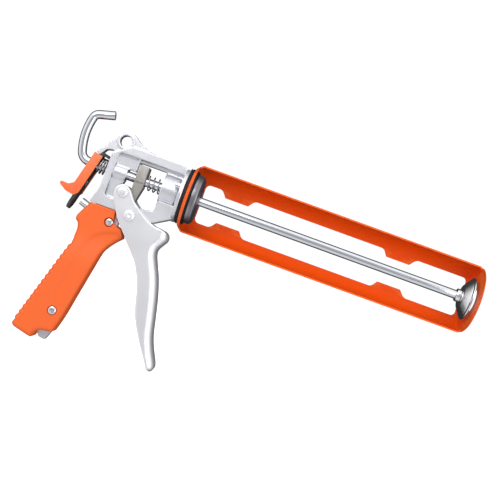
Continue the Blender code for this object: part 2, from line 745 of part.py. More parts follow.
def make_grip_fasteners():
    made = []
    for at, width, label in ((SCREW_UPPER, GRIP_TOP_W, "upper"), (SCREW_LOWER, GRIP_W, "lower")):
        face = width / 2
        seat = -(face - COUNTERBORE_DEPTH) - GAP
        screw = pin(f"grip_screw_{label}", SCREW_HEAD_D / 2, at, seat - SCREW_HEAD_H, seat, 24)
        shank = pin("shank", SCREW_D / 2, at, seat - 0.4 * MM, face - NUT_POCKET_DEPTH + HEX_NUT_H, 16)
        join(screw, shank)
        slot_size = SCREW_HEAD_D * 0.3
        arms = [
            block(f"cross_{label}_{i}", (at[0] - x, seat - SCREW_HEAD_H - MM, at[1] - z),
                  (at[0] + x, seat - SCREW_HEAD_H * 0.45, at[1] + z), CUTTERS)
            for i, (x, z) in enumerate(((slot_size, 0.5 * MM), (0.5 * MM, slot_size)))
        ]
        cut(screw, *arms)
        fix_shape(screw)
        made.append(finish(screw, "chrome"))
        low = face - NUT_POCKET_DEPTH + GAP
        nut = pin(f"grip_nut_{label}", hex_radius(), at, low, low + HEX_NUT_H, 6)
        cut(nut, cut_pin(f"nut_thread_{label}", SCREW_D / 2 + RUN / 2, at, low - MM, low + HEX_NUT_H + MM, 16))
        fix_shape(nut)
        made.append(finish(nut, "zinc"))
    return made


# Trigger group

def trigger_outline():
    head_r = 7.0
    pin_x, pin_z = DRIVE_PIN[0] / MM, DRIVE_PIN[1] / MM
    head = []
    for step in range(9):
        angle = math.radians(205 - 20.5 * step)
        head.append((pin_x + head_r * math.cos(angle), pin_z + head_r * math.sin(angle)))
    return rounded(in_mm(head + [
        (-36.2, -17.2, 12), (-23.9, -26.1, 16), (-15.5, -29.9, 8), (-7.6, -30.6, 6), (-1.8, -34.6, 3.5),
        (-3.2, -39.6, 4), (-9.0, -46.4, 5), (-4.2, -57.0, 30), (4.9, -81.1, 60), (9.4, -102.0, 60),
        (12.6, -113.5, 40), (21.0, -132.7, 1.5), (18.3, -136.3, 2.5), (13.2, -131.9, 8),
        (3.2, -116.0, 50), (-5.2, -101.2, 40), (-10.6, -82.6, 60), (-16.6, -66.5, 40), (-30.2, -49.4, 50),
        (-45.2, -32.8, 50), (-52.6, -19.6, 20),
    ]), 4)


def trigger_hollow():
    """What is taken out between the cheeks: all but the finger wall and the tip."""
    wall = TRIGGER_WALL / MM
    front = [
        (-1.8, -34.6), (-3.2, -39.6), (-9.0, -46.4), (-4.2, -57.0), (4.9, -81.1), (9.4, -102.0),
        (12.6, -113.5),
    ]
    inner = [(x - wall, z + (0.6 if i < 3 else -0.6)) for i, (x, z) in enumerate(front)]
    return rounded(in_mm(
        [(-70, 5), (-16, 5), (-16, -33.6)] + [(-8.0, -33.6, 1)] + [(x, z, 3) for x, z in inner[1:]]
        + [(13.2, -123.5), (4.0, -124.0), (-30, -100), (-70, -60)]
    ))


def make_trigger():
    trigger = slab("trigger", trigger_outline(), -CHEEK_OUT, CHEEK_OUT)
    cut(trigger,
        cut_slab("trigger_inside", trigger_hollow(), -CHEEK_IN, CHEEK_IN),
        cut_pin("trigger_pivot_hole", RIVET_D / 2 + RUN, PIVOT, -CHEEK_OUT - MM, CHEEK_OUT + MM),
        cut_pin("trigger_drive_hole", RIVET_D / 2 + RUN, DRIVE_PIN, -CHEEK_OUT - MM, CHEEK_OUT + MM))
    fix_shape(trigger)
    return finish(trigger, "satin_aluminium")


def make_rivet(name, at):
    """Shank between two domed heads outside the trigger's cheeks."""
    seat = CHEEK_OUT + GAP
    rise = RIVET_HEAD_H
    head_r = RIVET_HEAD_D / 2
    half = [(0.0, seat + rise), (head_r * 0.5, seat + rise * 0.86), (head_r * 0.86, seat + rise * 0.5),
            (head_r, seat), (RIVET_D / 2, seat)]
    profile = half + [(radius, -y) for radius, y in reversed(half)]
    mesh = bpy.data.meshes.new(name)
    mesh.from_pydata([(radius, y, 0.0) for radius, y in profile], [(i, i + 1) for i in range(len(profile) - 1)], [])
    shape = add_object(name + "_profile", mesh)
    screw = shape.modifiers.new("turn", "SCREW")
    screw.axis = "Y"
    screw.steps = 24
    screw.render_steps = 24
    screw.use_merge_vertices = True
    screw.merge_threshold = 0.00001
    rivet = to_mesh(shape, name)
    rivet.data.transform(Matrix.Translation((at[0], 0, at[1])))
    return finish(rivet, "satin_aluminium")


def make_roller():
    half = BODY_W / 2
    roller = pin("drive_roller", ROLLER_R, DRIVE_PIN, -half, half, 28)
    cut(roller, cut_pin("roller_bore", RIVET_D / 2 + RUN, DRIVE_PIN, -half - MM, half + MM))
    fix_shape(roller)
    return finish(roller, "turned_steel")


def make_drive_block():
    upper = block("drive_block", (BLOCK_BACK, -BLOCK_W / 2, BLOCK_STEP), (BLOCK_FRONT, BLOCK_W / 2, BLOCK_TOP))
    foot = slab("foot", rounded([
        (BLOCK_BACK, BLOCK_STEP + MM), (BLOCK_FRONT, BLOCK_STEP + MM), (BLOCK_FRONT, BLOCK_STEP - 3 * MM),
        (BLOCK_FRONT - 2.6 * MM, BLOCK_BOTTOM, 1 * MM), (BLOCK_BACK, BLOCK_BOTTOM, 1 * MM),
    ]), -BLOCK_FOOT_W / 2, BLOCK_FOOT_W / 2)
    join(upper, foot)
    cut(upper, cut_drum("block_bore", ROD_HOLE_D / 2, BLOCK_BACK - MM, BLOCK_FRONT + MM, sides=24))
    fix_shape(upper)
    soften(upper, 0.4 * MM, 1, 60)
    fix_shape(upper)
    return finish(upper, "sintered_steel")


# Rod and piston

def hook_route():
    """Centre line of the rod: straight from the piston, then through the bends of the hook."""
    x, z, heading = HOOK_START_X, 0.0, math.pi
    route = [(ROD_SHOULDER_X, 0, 0), (x, 0, 0)]
    for radius, turn, steps in HOOK_BENDS:
        for _ in range(steps):
            after = heading - math.radians(turn) / steps
            x += radius * (math.sin(heading) - math.sin(after))
            z += radius * (math.cos(after) - math.cos(heading))
            heading = after
            route.append((x, 0, z))
    route.append((x + HOOK_TIP * math.cos(heading), 0, z + HOOK_TIP * math.sin(heading)))
    return route


def make_rod():
    rod = wire("push_rod", hook_route(), ROD_D, 6)
    stud = drum("rod_stud", ROD_STUD_D / 2, ROD_SHOULDER_X - MM, DISH_BACK_X + DISH_T + PISTON_NUT_T, sides=16)
    join(rod, stud)
    return finish(rod, "chrome")


def make_piston():
    bore = ROD_STUD_D / 2 + RUN
    flat_r = DISH_FLOOR_D / 2
    rim_r = DISH_D / 2
    back = DISH_BACK_X
    lip = DISH_FACE_X
    profile = [
        (back, bore), (back, flat_r), (lip - 1.6 * MM, rim_r - 0.9 * MM), (lip - 1.2 * MM, rim_r),
        (lip, rim_r), (lip, rim_r - 1.8 * MM), (back + DISH_T, flat_r - 0.4 * MM), (back + DISH_T, bore),
    ]
    dish = finish(turned("piston_dish", profile, 48), "zinc")
    hub = ring("piston_hub", HUB_D, ROD_HOLE_D, back - GAP - HUB_L, back - GAP, "zinc", 32)
    seat = back + DISH_T + GAP
    nut = drum("piston_nut", PISTON_NUT_D / 2 / math.cos(math.pi / 6), seat, seat + PISTON_NUT_T, sides=6)
    cut(nut, cut_drum("piston_nut_bore", bore, seat - MM, seat + PISTON_NUT_T + MM, sides=16))
    fix_shape(nut)
    return [dish, hub, finish(nut, "zinc")]


# Release lever, in its own upright frame

def lever_frame():
    """From the lever's own frame to the design frame: tilted, with its hinge in the body's hook."""
    return Matrix.Translation((HINGE[0], 0, HINGE[1])) @ Matrix.Rotation(PLATE_TILT, 4, "Y")


def rod_in_lever(depth):
    """Height in the lever's frame where the rod's axis crosses the plane x = depth."""
    across = (depth - HINGE[1] * math.sin(PLATE_TILT)) / math.cos(PLATE_TILT)
    return across * math.sin(PLATE_TILT) - HINGE[1] * math.cos(PLATE_TILT)


def plate_front_x(z):
    """Where the plate's front face is in the design frame, at height z."""
    return HINGE[0] + (PLATE_FACE + (z - HINGE[1]) * math.sin(PLATE_TILT)) / math.cos(PLATE_TILT)


def make_release_plate():
    """Plate that tilts and holds the rod, with a tongue bent forward into the hinge."""
    back = PLATE_FACE - PLATE_T
    half = PLATE_W / 2
    top = TONGUE_T / 2
    low = -PLATE_L + half
    bend = 1.8 * PLATE_T
    plate = slab("release_plate", rounded([
        (PLATE_FACE, low), (PLATE_FACE, -top, 0.6 * MM), (MM, -top), (MM, top), (back, top, PLATE_T),
        (back, low)]), -half, half)
    round_end = round_bar("plate_end", half, (back, 0, low), (PLATE_FACE, 0, low), 28)
    join(plate, round_end)
    shoulders = [
        block("plate_shoulder_" + label, (back - MM, y_from, -bend), (2 * MM, y_to, top + MM), CUTTERS)
        for label, y_from, y_to in (("near", -half - MM, -TONGUE_W / 2), ("far", TONGUE_W / 2, half + MM))
    ]
    cut(plate, *shoulders)
    tilt_loss = (PLATE_T + 0.6 * MM) * math.sin(PLATE_TILT)
    bore_r = (ROD_HOLE_D + tilt_loss) / math.cos(PLATE_TILT) / 2 + 0.1 * MM
    height = rod_in_lever(PLATE_FACE - PLATE_T / 2)
    hole = round_bar("plate_hole", bore_r, (back - MM, 0, height), (PLATE_FACE + MM, 0, height), 24, CUTTERS)
    rivet_hole = round_bar("plate_rivet_hole", LEVER_RIVET_D / 2 + RUN, (back - MM, 0, LEVER_RIVET_Z),
                           (PLATE_FACE + MM, 0, LEVER_RIVET_Z), 16, CUTTERS)
    cut(plate, hole, rivet_hole)
    fix_shape(plate)
    return finish(plate, "black_steel")


def make_thumb_lever():
    """Channel behind the plate with a thumb tab at its lower end."""
    half = LEVER_W / 2
    front, back = LEVER_FRONT / MM, LEVER_BACK / MM
    top, low = LEVER_TOP / MM, -LEVER_FLANGE_L / MM
    tip = back - TAB_REACH_BACK / MM
    lever = slab("thumb_lever", rounded(in_mm([
        (front, top), (front, low, 1), (-4.5, low - 3.6, 2), (-11.5, low - 4.0, 5),
        (tip, low - 1.6, 0.8), (tip + 0.3, low + 0.6, 0.6), (back - 3.5, low + 1.4, 3), (back, low + 5.0, 2),
        (back, top),
    ])), -half, half)
    inner = half - LEVER_WALL
    plate_back = PLATE_FACE - PLATE_T - GAP
    channel = block("lever_channel", (LEVER_BACK + LEVER_WALL, -inner, low * MM + 2 * MM),
                    (MM, inner, 2 * MM), CUTTERS)
    plate_way = block("lever_plate_way", (plate_back, -inner, low * MM - 8 * MM), (MM, inner, 0), CUTTERS)
    head_room = block("lever_head_room", (LEVER_BACK - MM, -WEB_W / 2 - MM, -4.6 * MM),
                      (LEVER_FRONT + MM, WEB_W / 2 + MM, MM), CUTTERS)
    cut(lever, channel, plate_way, head_room)
    fix_shape(lever)
    post = round_bar("lever_post", 3.4 * MM, (LEVER_BACK + 0.5 * MM, 0, LEVER_RIVET_Z),
                     (plate_back, 0, LEVER_RIVET_Z), 20)
    join(lever, post)
    height = rod_in_lever((LEVER_BACK + LEVER_WALL / 2))
    rod_hole = round_bar("lever_rod_hole", ROD_D / 2 + 1.6 * MM, (LEVER_BACK - 3 * MM, 0, height),
                         (LEVER_BACK + LEVER_WALL + MM, 0, height), 24, CUTTERS)
    rivet_hole = round_bar("lever_rivet_hole", LEVER_RIVET_D / 2 + RUN, (LEVER_BACK - 3 * MM, 0, LEVER_RIVET_Z),
                           (MM, 0, LEVER_RIVET_Z), 16, CUTTERS)
    cut(lever, rod_hole, rivet_hole)
    fix_shape(lever)
    return finish(lever, "orange_paint")


def make_lever_rivet():
    head_r = 2.6 * MM
    front = PLATE_FACE + GAP
    back = LEVER_BACK - GAP
    rivet = round_bar("lever_rivet", LEVER_RIVET_D / 2, (back - 0.5 * MM, 0, LEVER_RIVET_Z),
                      (front + 0.5 * MM, 0, LEVER_RIVET_Z), 16)
    heads = [
        round_bar("rivet_head", head_r, (x, 0, LEVER_RIVET_Z), (x + 0.9 * MM, 0, LEVER_RIVET_Z), 20)
        for x in (front, back - 0.9 * MM)
    ]
    join(rivet, *heads)
    return finish(rivet, "zinc")


def make_release_group():
    group = [make_release_plate(), make_thumb_lever(), make_lever_rivet()]
    for piece in group:
        piece.data.transform(lever_frame())
    for cutter in bpy.data.collections[CUTTERS].objects:
        if cutter.name.startswith(("lever_", "plate_")):
            cutter.data.transform(lever_frame())
    return group


# Springs

def make_return_spring():
    radius = (RETURN_SPRING_D - RETURN_WIRE) / 2
    start = BLOCK_FRONT + GAP + RETURN_WIRE / 2
    end = FRONT_BOSS_BACK - GAP - RETURN_WIRE / 2
    steps = int(RETURN_TURNS * 14)
    route = []
    for step in range(steps + 1):
        part = step / steps
        angle = 2 * math.pi * RETURN_TURNS * part
        route.append((start + (end - start) * part, radius * math.cos(angle), radius * math.sin(angle)))
    return finish(wire("return_spring", route, RETURN_WIRE, 2), "spring_steel")


def make_release_spring():
    """Coils that lie flat on the body and tilt, turn by turn, until they lie along the plate."""
    radius = (RELEASE_SPRING_D - RELEASE_WIRE) / 2
    room = GAP + RELEASE_WIRE / 2
    steps = int(RELEASE_TURNS * 14)
    route = []
    for step in range(steps + 1):
        part = step / steps
        angle = 2 * math.pi * RELEASE_TURNS * part
        y, z = radius * math.cos(angle), radius * math.sin(angle)
        front = BODY_BACK - room
        back = plate_front_x(z) + room / math.cos(PLATE_TILT)
        route.append((front + (back - front) * part, y, z))
    return finish(wire("release_spring", route, RELEASE_WIRE, 2), "spring_steel")


# Assembly

def pivot_at(name, place, above):
    """An empty on a joint's axis; a moving body's pieces hang from it."""
    empty = bpy.data.objects.new(name, None)
    empty.empty_display_size = 10 * MM
    bpy.data.collections[COLLECTION].objects.link(empty)
    empty.location = place
    if above is not None:
        empty.parent = above
        empty.matrix_parent_inverse = Matrix.Translation(-above.matrix_world.translation)
    bpy.context.view_layer.update()
    return empty


def hang(pieces, pivot):
    for piece in pieces:
        piece.parent = pivot
        piece.matrix_parent_inverse = Matrix.Translation(-pivot.matrix_world.translation)


def build():
    clear_scene()
    make_collection(COLLECTION)
    make_collection(CUTTERS)

    gun = pivot_at("gun", (0, 0, 0), None)
    hang([make_casting(), make_stop_stud(), make_retaining_nut(), *make_washers(),
          finish(dowel("flange_dowel"), "zinc"), make_grip_half("grip_left", -1),
          make_grip_half("grip_right", 1), *make_grip_fasteners(),
          make_rivet("trigger_pivot_pin", PIVOT), make_return_spring(), make_release_spring()], gun)
    hang([make_cradle()], pivot_at("cradle_axis", (PLATE_BACK, 0, 0), gun))
    hang([make_trigger(), make_rivet("drive_pin", DRIVE_PIN), make_roller()],
         pivot_at("trigger_axis", (PIVOT[0], 0, PIVOT[1]), gun))
    hang([make_drive_block()], pivot_at("drive_axis", (BLOCK_BACK, 0, 0), gun))
    piston_axis = pivot_at("piston_axis", (DISH_FACE_X, 0, 0), gun)
    hang(make_piston(), piston_axis)
    hang([make_rod()], pivot_at("rod_axis", (0, 0, 0), piston_axis))
    hang(make_release_group(), pivot_at("release_axis", (HINGE[0], 0, HINGE[1]), gun))

    gun.location = (GRIP_BEHIND_CRADLE, 0, GRIP_BELOW_ROD)
    bpy.context.view_layer.update()


build()
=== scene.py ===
"""Caulking gun: the looks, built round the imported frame.

Shapes are drawn in millimetres round the push rod's axis at the cradle's back face (+X to the muzzle,
+Z up, near side -Y), and each finished piece is then moved into the frame, in metres.
"""

import json
import math

import bmesh
import bpy
import numpy as np
from mathutils import Matrix, Vector


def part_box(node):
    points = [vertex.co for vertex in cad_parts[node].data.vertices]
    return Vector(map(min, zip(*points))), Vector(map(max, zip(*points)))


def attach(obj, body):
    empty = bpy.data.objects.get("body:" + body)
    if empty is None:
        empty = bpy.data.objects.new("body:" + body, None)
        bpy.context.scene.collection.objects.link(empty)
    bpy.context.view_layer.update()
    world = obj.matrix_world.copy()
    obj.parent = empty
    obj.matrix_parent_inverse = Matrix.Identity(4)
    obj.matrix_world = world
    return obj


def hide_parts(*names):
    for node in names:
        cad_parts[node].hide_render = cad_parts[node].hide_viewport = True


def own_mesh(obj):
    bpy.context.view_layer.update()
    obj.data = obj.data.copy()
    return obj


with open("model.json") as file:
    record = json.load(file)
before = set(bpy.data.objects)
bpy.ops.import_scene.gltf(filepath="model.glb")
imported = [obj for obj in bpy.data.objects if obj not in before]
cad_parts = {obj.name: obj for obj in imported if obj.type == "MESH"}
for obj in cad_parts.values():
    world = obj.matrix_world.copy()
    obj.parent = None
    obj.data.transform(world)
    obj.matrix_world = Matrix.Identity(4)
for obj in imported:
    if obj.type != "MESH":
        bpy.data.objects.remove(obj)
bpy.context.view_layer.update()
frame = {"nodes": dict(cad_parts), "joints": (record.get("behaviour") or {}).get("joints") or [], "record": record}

MM = 0.001
JOINTS = {joint["name"]: joint for joint in frame["joints"]}
ROD_AXIS = Vector(JOINTS["cradle_turn"]["pos_m"])
TO_FRAME = Matrix.Translation(ROD_AXIS) @ Matrix.Scale(MM, 4)


def node_span(node, axis):
    """Lowest and highest place of a CAD node along an axis, in millimetres from the rod's axis."""
    low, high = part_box(node)
    return (low[axis] - ROD_AXIS[axis]) / MM, (high[axis] - ROD_AXIS[axis]) / MM


# Sizes in millimetres

GAP = 0.3                 # room between neighbouring pieces
ROD_R = 3.5
ROD_BORE_R = 3.8
PIN_BORE_R = 2.8
SCREW_WAY_R = 2.1
NOSE_R = 7.0
NOSE_HOLE_R = 7.3
FLANGE_R = 22.0
NUT_R = 19.5
CRADLE_BACK, CRADLE_FRONT = node_span("cradle", 0)
CRADLE_R = 27.3
SHEET = 1.2
FRONT_BEND = 4.6          # outside radius between half tube and front plate
WINDOW_HALF = 15.8
TAB_REACH = 5.3           # how far a tab narrows the window
TAB_HALF = 8.7            # half a tab's length at its tip
TAB_ROOT = 5.0            # slope at each end of a tab
FLANGE_FRONT = node_span("washer_rear", 0)[0] - GAP
BODY_HALF = 9.0
WEB_HALF = 4.5
CHEEK_IN = 9.6
CHEEK_OUT = 12.6
GRIP_HALF = 12.5
GRIP_TOP_HALF = 9.0
DISH_BACK, DISH_FACE = node_span("piston_dish", 0)
HOOK_START = -81.4
HOOK_BENDS = ((8.0, 72.0), (50.0, 32.0), (5.5, 61.0))     # radius, turn in degrees
HOOK_TIP = 12.4
PIVOT = (-36.4, -28.7)
DRIVE_PIN = (-47.0, -13.4)
EYE = (-59.1, 24.1)
HINGE = (-68.6, 8.3)
PLATE_TILT = math.radians(14.2)
PLATE_FACE = -2.8         # the release plate's front face, before the hinge
SCREW_UPPER = (-49.7, -38.8)
SCREW_LOWER = (-67.1, -116.6)
SEAT_DEPTH = 2.6          # how deep a screw head's seat lies in the near grip half
FRONT_BOSS_BACK = -21.3   # where the return spring ends
DRIVE_ROOM = 13.0         # the return spring's length at rest
COIL_TURNS = 3
COIL_STEPS = 36


# Node groups shared by the finishes

def new_group(name, inputs, outputs):
    tree = bpy.data.node_groups.new(name, "ShaderNodeTree")
    for label, kind, value in inputs:
        socket = tree.interface.new_socket(name=label, in_out="INPUT", socket_type=kind)
        socket.default_value = value
    for label, kind in outputs:
        tree.interface.new_socket(name=label, in_out="OUTPUT", socket_type=kind)
    return tree, tree.nodes.new("NodeGroupInput"), tree.nodes.new("NodeGroupOutput")


def number(tree, operation, first, second=None, clamp=False):
    """A Math node fed with sockets or plain numbers; gives its result socket."""
    node = tree.nodes.new("ShaderNodeMath")
    node.operation = operation
    node.use_clamp = clamp
    for socket, value in zip(node.inputs, (first, second)):
        if value is None:
            continue
        if isinstance(value, (int, float)):
            socket.default_value = value
        else:
            tree.links.new(value, socket)
    return node.outputs[0]


def spread(tree, value, from_low, from_high, to_low=0.0, to_high=1.0):
    """A Map Range node, clamped and smooth."""
    node = tree.nodes.new("ShaderNodeMapRange")
    node.interpolation_type = "SMOOTHSTEP"
    node.inputs["From Min"].default_value = from_low
    node.inputs["From Max"].default_value = from_high
    node.inputs["To Min"].default_value = to_low
    node.inputs["To Max"].default_value = to_high
    tree.links.new(value, node.inputs["Value"])
    return node.outputs["Result"]


def noise(tree, place, scale, detail=2.0, rough=0.5):
    node = tree.nodes.new("ShaderNodeTexNoise")
    node.inputs["Detail"].default_value = detail
    node.inputs["Roughness"].default_value = rough
    tree.links.new(place, node.inputs["Vector"])
    if isinstance(scale, (int, float)):
        node.inputs["Scale"].default_value = scale
    else:
        tree.links.new(scale, node.inputs["Scale"])
    return node.outputs["Fac"]


def object_place(tree):
    return tree.nodes.new("ShaderNodeTexCoord").outputs["Object"]


def grain_group():
    """Fine surface grain of a moulded or blasted face, with slow patches."""
    tree, given, out = new_group(
        "surface_grain",
        [("Grain per metre", "NodeSocketFloat", 2500.0), ("Patches per metre", "NodeSocketFloat", 60.0)],
        [("Height", "NodeSocketFloat"), ("Patches", "NodeSocketFloat")])
    place = object_place(tree)
    fine = noise(tree, place, given.outputs["Grain per metre"], 3.0, 0.6)
    slow = noise(tree, place, given.outputs["Patches per metre"], 4.0, 0.6)
    tree.links.new(fine, out.inputs["Height"])
    tree.links.new(slow, out.inputs["Patches"])
    return tree


def wear_and_shade_group():
    """Mask that is 1 on rubbed outside edges, broken up by noise, and one for painted shade in inside corners,
    darker where shade would fall.
    """
    tree, given, out = new_group(
        "edge_wear_and_corner_shade",
        [("Amount", "NodeSocketFloat", 1.0)],
        [("Rubbed", "NodeSocketFloat"), ("Painted corner shade", "NodeSocketFloat")])
    shape = tree.nodes.new("ShaderNodeNewGeometry").outputs["Pointiness"]
    patches = noise(tree, object_place(tree), 220.0, 4.0, 0.65)
    edge = spread(tree, shape, 0.515, 0.56)
    broken = spread(tree, patches, 0.38, 0.62, 0.35, 1.0)
    rubbed = number(tree, "MULTIPLY", number(tree, "MULTIPLY", edge, broken), given.outputs["Amount"], True)
    # painted shade: concave places (low pointiness) are marked to be darkened, as shade in corners and creases
    corner = number(tree, "MULTIPLY", spread(tree, shape, 0.485, 0.44), given.outputs["Amount"], True)
    tree.links.new(rubbed, out.inputs["Rubbed"])
    tree.links.new(corner, out.inputs["Painted corner shade"])
    return tree


def turning_group():
    """Rings that a lathe leaves round the rod's axis, each a little different."""
    tree, given, out = new_group(
        "turning_rings",
        [("Rings per metre", "NodeSocketFloat", 2200.0)],
        [("Height", "NodeSocketFloat"), ("Streaks", "NodeSocketFloat")])
    parts = tree.nodes.new("ShaderNodeSeparateXYZ")
    tree.links.new(object_place(tree), parts.inputs[0])
    across = number(tree, "SUBTRACT", parts.outputs["Y"], ROD_AXIS.y)
    up = number(tree, "SUBTRACT", parts.outputs["Z"], ROD_AXIS.z)
    square = number(tree, "ADD", number(tree, "MULTIPLY", across, across), number(tree, "MULTIPLY", up, up))
    radius = number(tree, "SQRT", square)
    rings = tree.nodes.new("ShaderNodeCombineXYZ")
    tree.links.new(radius, rings.inputs["X"])
    tree.links.new(number(tree, "MULTIPLY", parts.outputs["X"], 0.6), rings.inputs["Y"])
    streaks = noise(tree, rings.outputs[0], given.outputs["Rings per metre"], 3.0, 0.7)
    tree.links.new(streaks, out.inputs["Height"])
    tree.links.new(streaks, out.inputs["Streaks"])
    return tree


def drawing_group():
    """Fine lines along the rod that drawing and plating leave, with slow cloudy patches."""
    tree, given, out = new_group(
        "drawn_lines",
        [("Lines per metre", "NodeSocketFloat", 4000.0)],
        [("Height", "NodeSocketFloat"), ("Clouds", "NodeSocketFloat")])
    stretch = tree.nodes.new("ShaderNodeVectorMath")
    stretch.operation = "MULTIPLY"
    stretch.inputs[1].default_value = (0.02, 1.0, 1.0)
    place = object_place(tree)
    tree.links.new(place, stretch.inputs[0])
    lines = noise(tree, stretch.outputs[0], given.outputs["Lines per metre"], 2.0, 0.5)
    clouds = noise(tree, place, 90.0, 3.0, 0.5)
    tree.links.new(lines, out.inputs["Height"])
    tree.links.new(clouds, out.inputs["Clouds"])
    return tree


GRAIN = grain_group()
WEAR_AND_SHADE = wear_and_shade_group()
TURNING = turning_group()
DRAWING = drawing_group()


# Finishes

class Finish:
    """A material round one Principled shader, with short ways to mix colours and bumps into it."""

    def __init__(self, name, colour, roughness, metallic=0.0, **constants):
        self.made = bpy.data.materials.new(name)
        self.made.use_nodes = True
        self.tree = self.made.node_tree
        self.shader = self.tree.nodes["Principled BSDF"]
        self.colour = (*colour, 1.0)
        self.shader.inputs["Base Color"].default_value = self.colour
        self.shader.inputs["Roughness"].default_value = roughness
        self.shader.inputs["Metallic"].default_value = metallic
        for socket, value in constants.items():
            self.shader.inputs[socket.replace("_", " ").title().replace("Ior", "IOR")].default_value = value
        self.made.diffuse_color = self.colour
        self.colour_socket = None

    def effect(self, group, **values):
        node = self.tree.nodes.new("ShaderNodeGroup")
        node.node_tree = group
        for label, value in values.items():
            node.inputs[label.replace("_", " ").capitalize()].default_value = value
        return node.outputs

    def tint(self, mask, colour):
        """Moves the base colour towards another one where the mask is 1."""
        mix = self.tree.nodes.new("ShaderNodeMix")
        mix.data_type = "RGBA"
        self.tree.links.new(mask, mix.inputs[0])
        if self.colour_socket is None:
            mix.inputs[6].default_value = self.colour
        else:
            self.tree.links.new(self.colour_socket, mix.inputs[6])
        mix.inputs[7].default_value = (*colour, 1.0)
        self.colour_socket = mix.outputs[2]
        self.tree.links.new(self.colour_socket, self.shader.inputs["Base Color"])

    def rough(self, mask, low, high):
        self.tree.links.new(spread(self.tree, mask, 0.3, 0.7, low, high), self.shader.inputs["Roughness"])

    def bump(self, height, depth, strength=1.0):
        node = self.tree.nodes.new("ShaderNodeBump")
        node.inputs["Strength"].default_value = strength
        node.inputs["Distance"].default_value = depth * MM
        self.tree.links.new(height, node.inputs["Height"])
        self.tree.links.new(node.outputs[0], self.shader.inputs["Normal"])

    def scale(self, mask, low, high, from_low=0.3, from_high=0.7):
        """A mask stretched to another range, as a socket."""
        return spread(self.tree, mask, from_low, from_high, low, high)


def cast_aluminium():
    look = Finish("cast_aluminium", (0.83, 0.835, 0.87), 0.38, 0.85)
    grain = look.effect(GRAIN, grain_per_metre=1800.0, patches_per_metre=45.0)
    wear_and_shade = look.effect(WEAR_AND_SHADE, amount=0.9)
    look.tint(look.scale(grain["Patches"], 0.0, 0.4), (0.74, 0.745, 0.79))
    # painted shade: dark grey in concave corners and creases, where shade falls
    look.tint(wear_and_shade["Painted corner shade"], (0.20, 0.205, 0.23))
    look.tint(wear_and_shade["Rubbed"], (0.97, 0.975, 0.98))
    look.rough(grain["Patches"], 0.32, 0.44)
    look.bump(grain["Height"], 0.05, 0.5)
    return look.made


def trigger_aluminium():
    look = Finish("trigger_aluminium", (0.95, 0.955, 0.98), 0.33, 0.65)
    grain = look.effect(GRAIN, grain_per_metre=1400.0, patches_per_metre=35.0)
    wear_and_shade = look.effect(WEAR_AND_SHADE, amount=1.0)
    look.tint(look.scale(grain["Patches"], 0.0, 0.35), (0.85, 0.855, 0.89))
    look.tint(wear_and_shade["Rubbed"], (0.99, 0.99, 0.99))
    look.rough(grain["Patches"], 0.28, 0.38)
    look.bump(grain["Height"], 0.03, 0.4)
    return look.made


def orange_plastic():
    look = Finish("orange_plastic", (0.93, 0.150, 0.028), 0.48, 0.0, specular_ior_level=0.30)
    grain = look.effect(GRAIN, grain_per_metre=2600.0, patches_per_metre=50.0)
    wear_and_shade = look.effect(WEAR_AND_SHADE, amount=0.6)
    look.tint(look.scale(grain["Patches"], 0.0, 0.25), (0.88, 0.130, 0.030))
    # painted shade: darker red in concave corners and creases, where shade falls
    look.tint(wear_and_shade["Painted corner shade"], (0.62, 0.045, 0.010))
    look.tint(wear_and_shade["Rubbed"], (1.0, 0.26, 0.09))
    look.rough(grain["Patches"], 0.42, 0.55)
    look.bump(grain["Height"], 0.04, 0.35)
    return look.made


def cradle_paint():
    look = Finish("cradle_paint", (1.0, 0.098, 0.0), 0.34, 0.0, specular_ior_level=0.12, coat_weight=0.15,
                  coat_roughness=0.12)
    grain = look.effect(GRAIN, grain_per_metre=900.0, patches_per_metre=30.0)
    wear_and_shade = look.effect(WEAR_AND_SHADE, amount=0.5)
    look.tint(look.scale(grain["Patches"], 0.0, 0.25), (0.95, 0.082, 0.0))
    look.tint(wear_and_shade["Rubbed"], (1.0, 0.22, 0.04))
    look.rough(grain["Patches"], 0.30, 0.38)
    look.bump(grain["Height"], 0.02, 0.12)
    return look.made


def lever_paint():
    look = Finish("lever_paint", (0.94, 0.150, 0.035), 0.42, 0.0, coat_weight=0.15, coat_roughness=0.3)
    grain = look.effect(GRAIN, grain_per_metre=1500.0, patches_per_metre=60.0)
    wear_and_shade = look.effect(WEAR_AND_SHADE, amount=0.6)
    look.tint(wear_and_shade["Rubbed"], (1.0, 0.27, 0.09))
    look.rough(grain["Patches"], 0.36, 0.48)
    look.bump(grain["Height"], 0.04, 0.3)
    return look.made


def bright_chrome():
    look = Finish("bright_chrome", (0.80, 0.82, 0.85), 0.12, 1.0)
    drawn = look.effect(DRAWING, lines_per_metre=5000.0)
    look.tint(look.scale(drawn["Clouds"], 0.0, 0.35), (0.70, 0.73, 0.77))
    look.rough(drawn["Clouds"], 0.09, 0.17)
    look.bump(drawn["Height"], 0.01, 0.15)
    return look.made


def zinc_plate(name="zinc_plate", colour=(0.90, 0.89, 0.90), low=0.16, high=0.26):
    look = Finish(name, colour, low, 1.0)
    rings = look.effect(TURNING, rings_per_metre=1500.0)
    look.tint(look.scale(rings["Streaks"], 0.0, 0.35), tuple(0.75 * part for part in colour))
    look.rough(rings["Streaks"], low, high)
    look.bump(rings["Height"], 0.02, 0.3)
    return look.made


def turned_steel():
    look = Finish("turned_steel", (0.36, 0.34, 0.37), 0.34, 0.85)
    rings = look.effect(TURNING, rings_per_metre=2600.0)
    look.tint(look.scale(rings["Streaks"], 0.0, 0.9, 0.35, 0.65), (0.13, 0.125, 0.14))
    look.rough(rings["Streaks"], 0.26, 0.42)
    look.bump(rings["Height"], 0.08, 0.7)
    return look.made


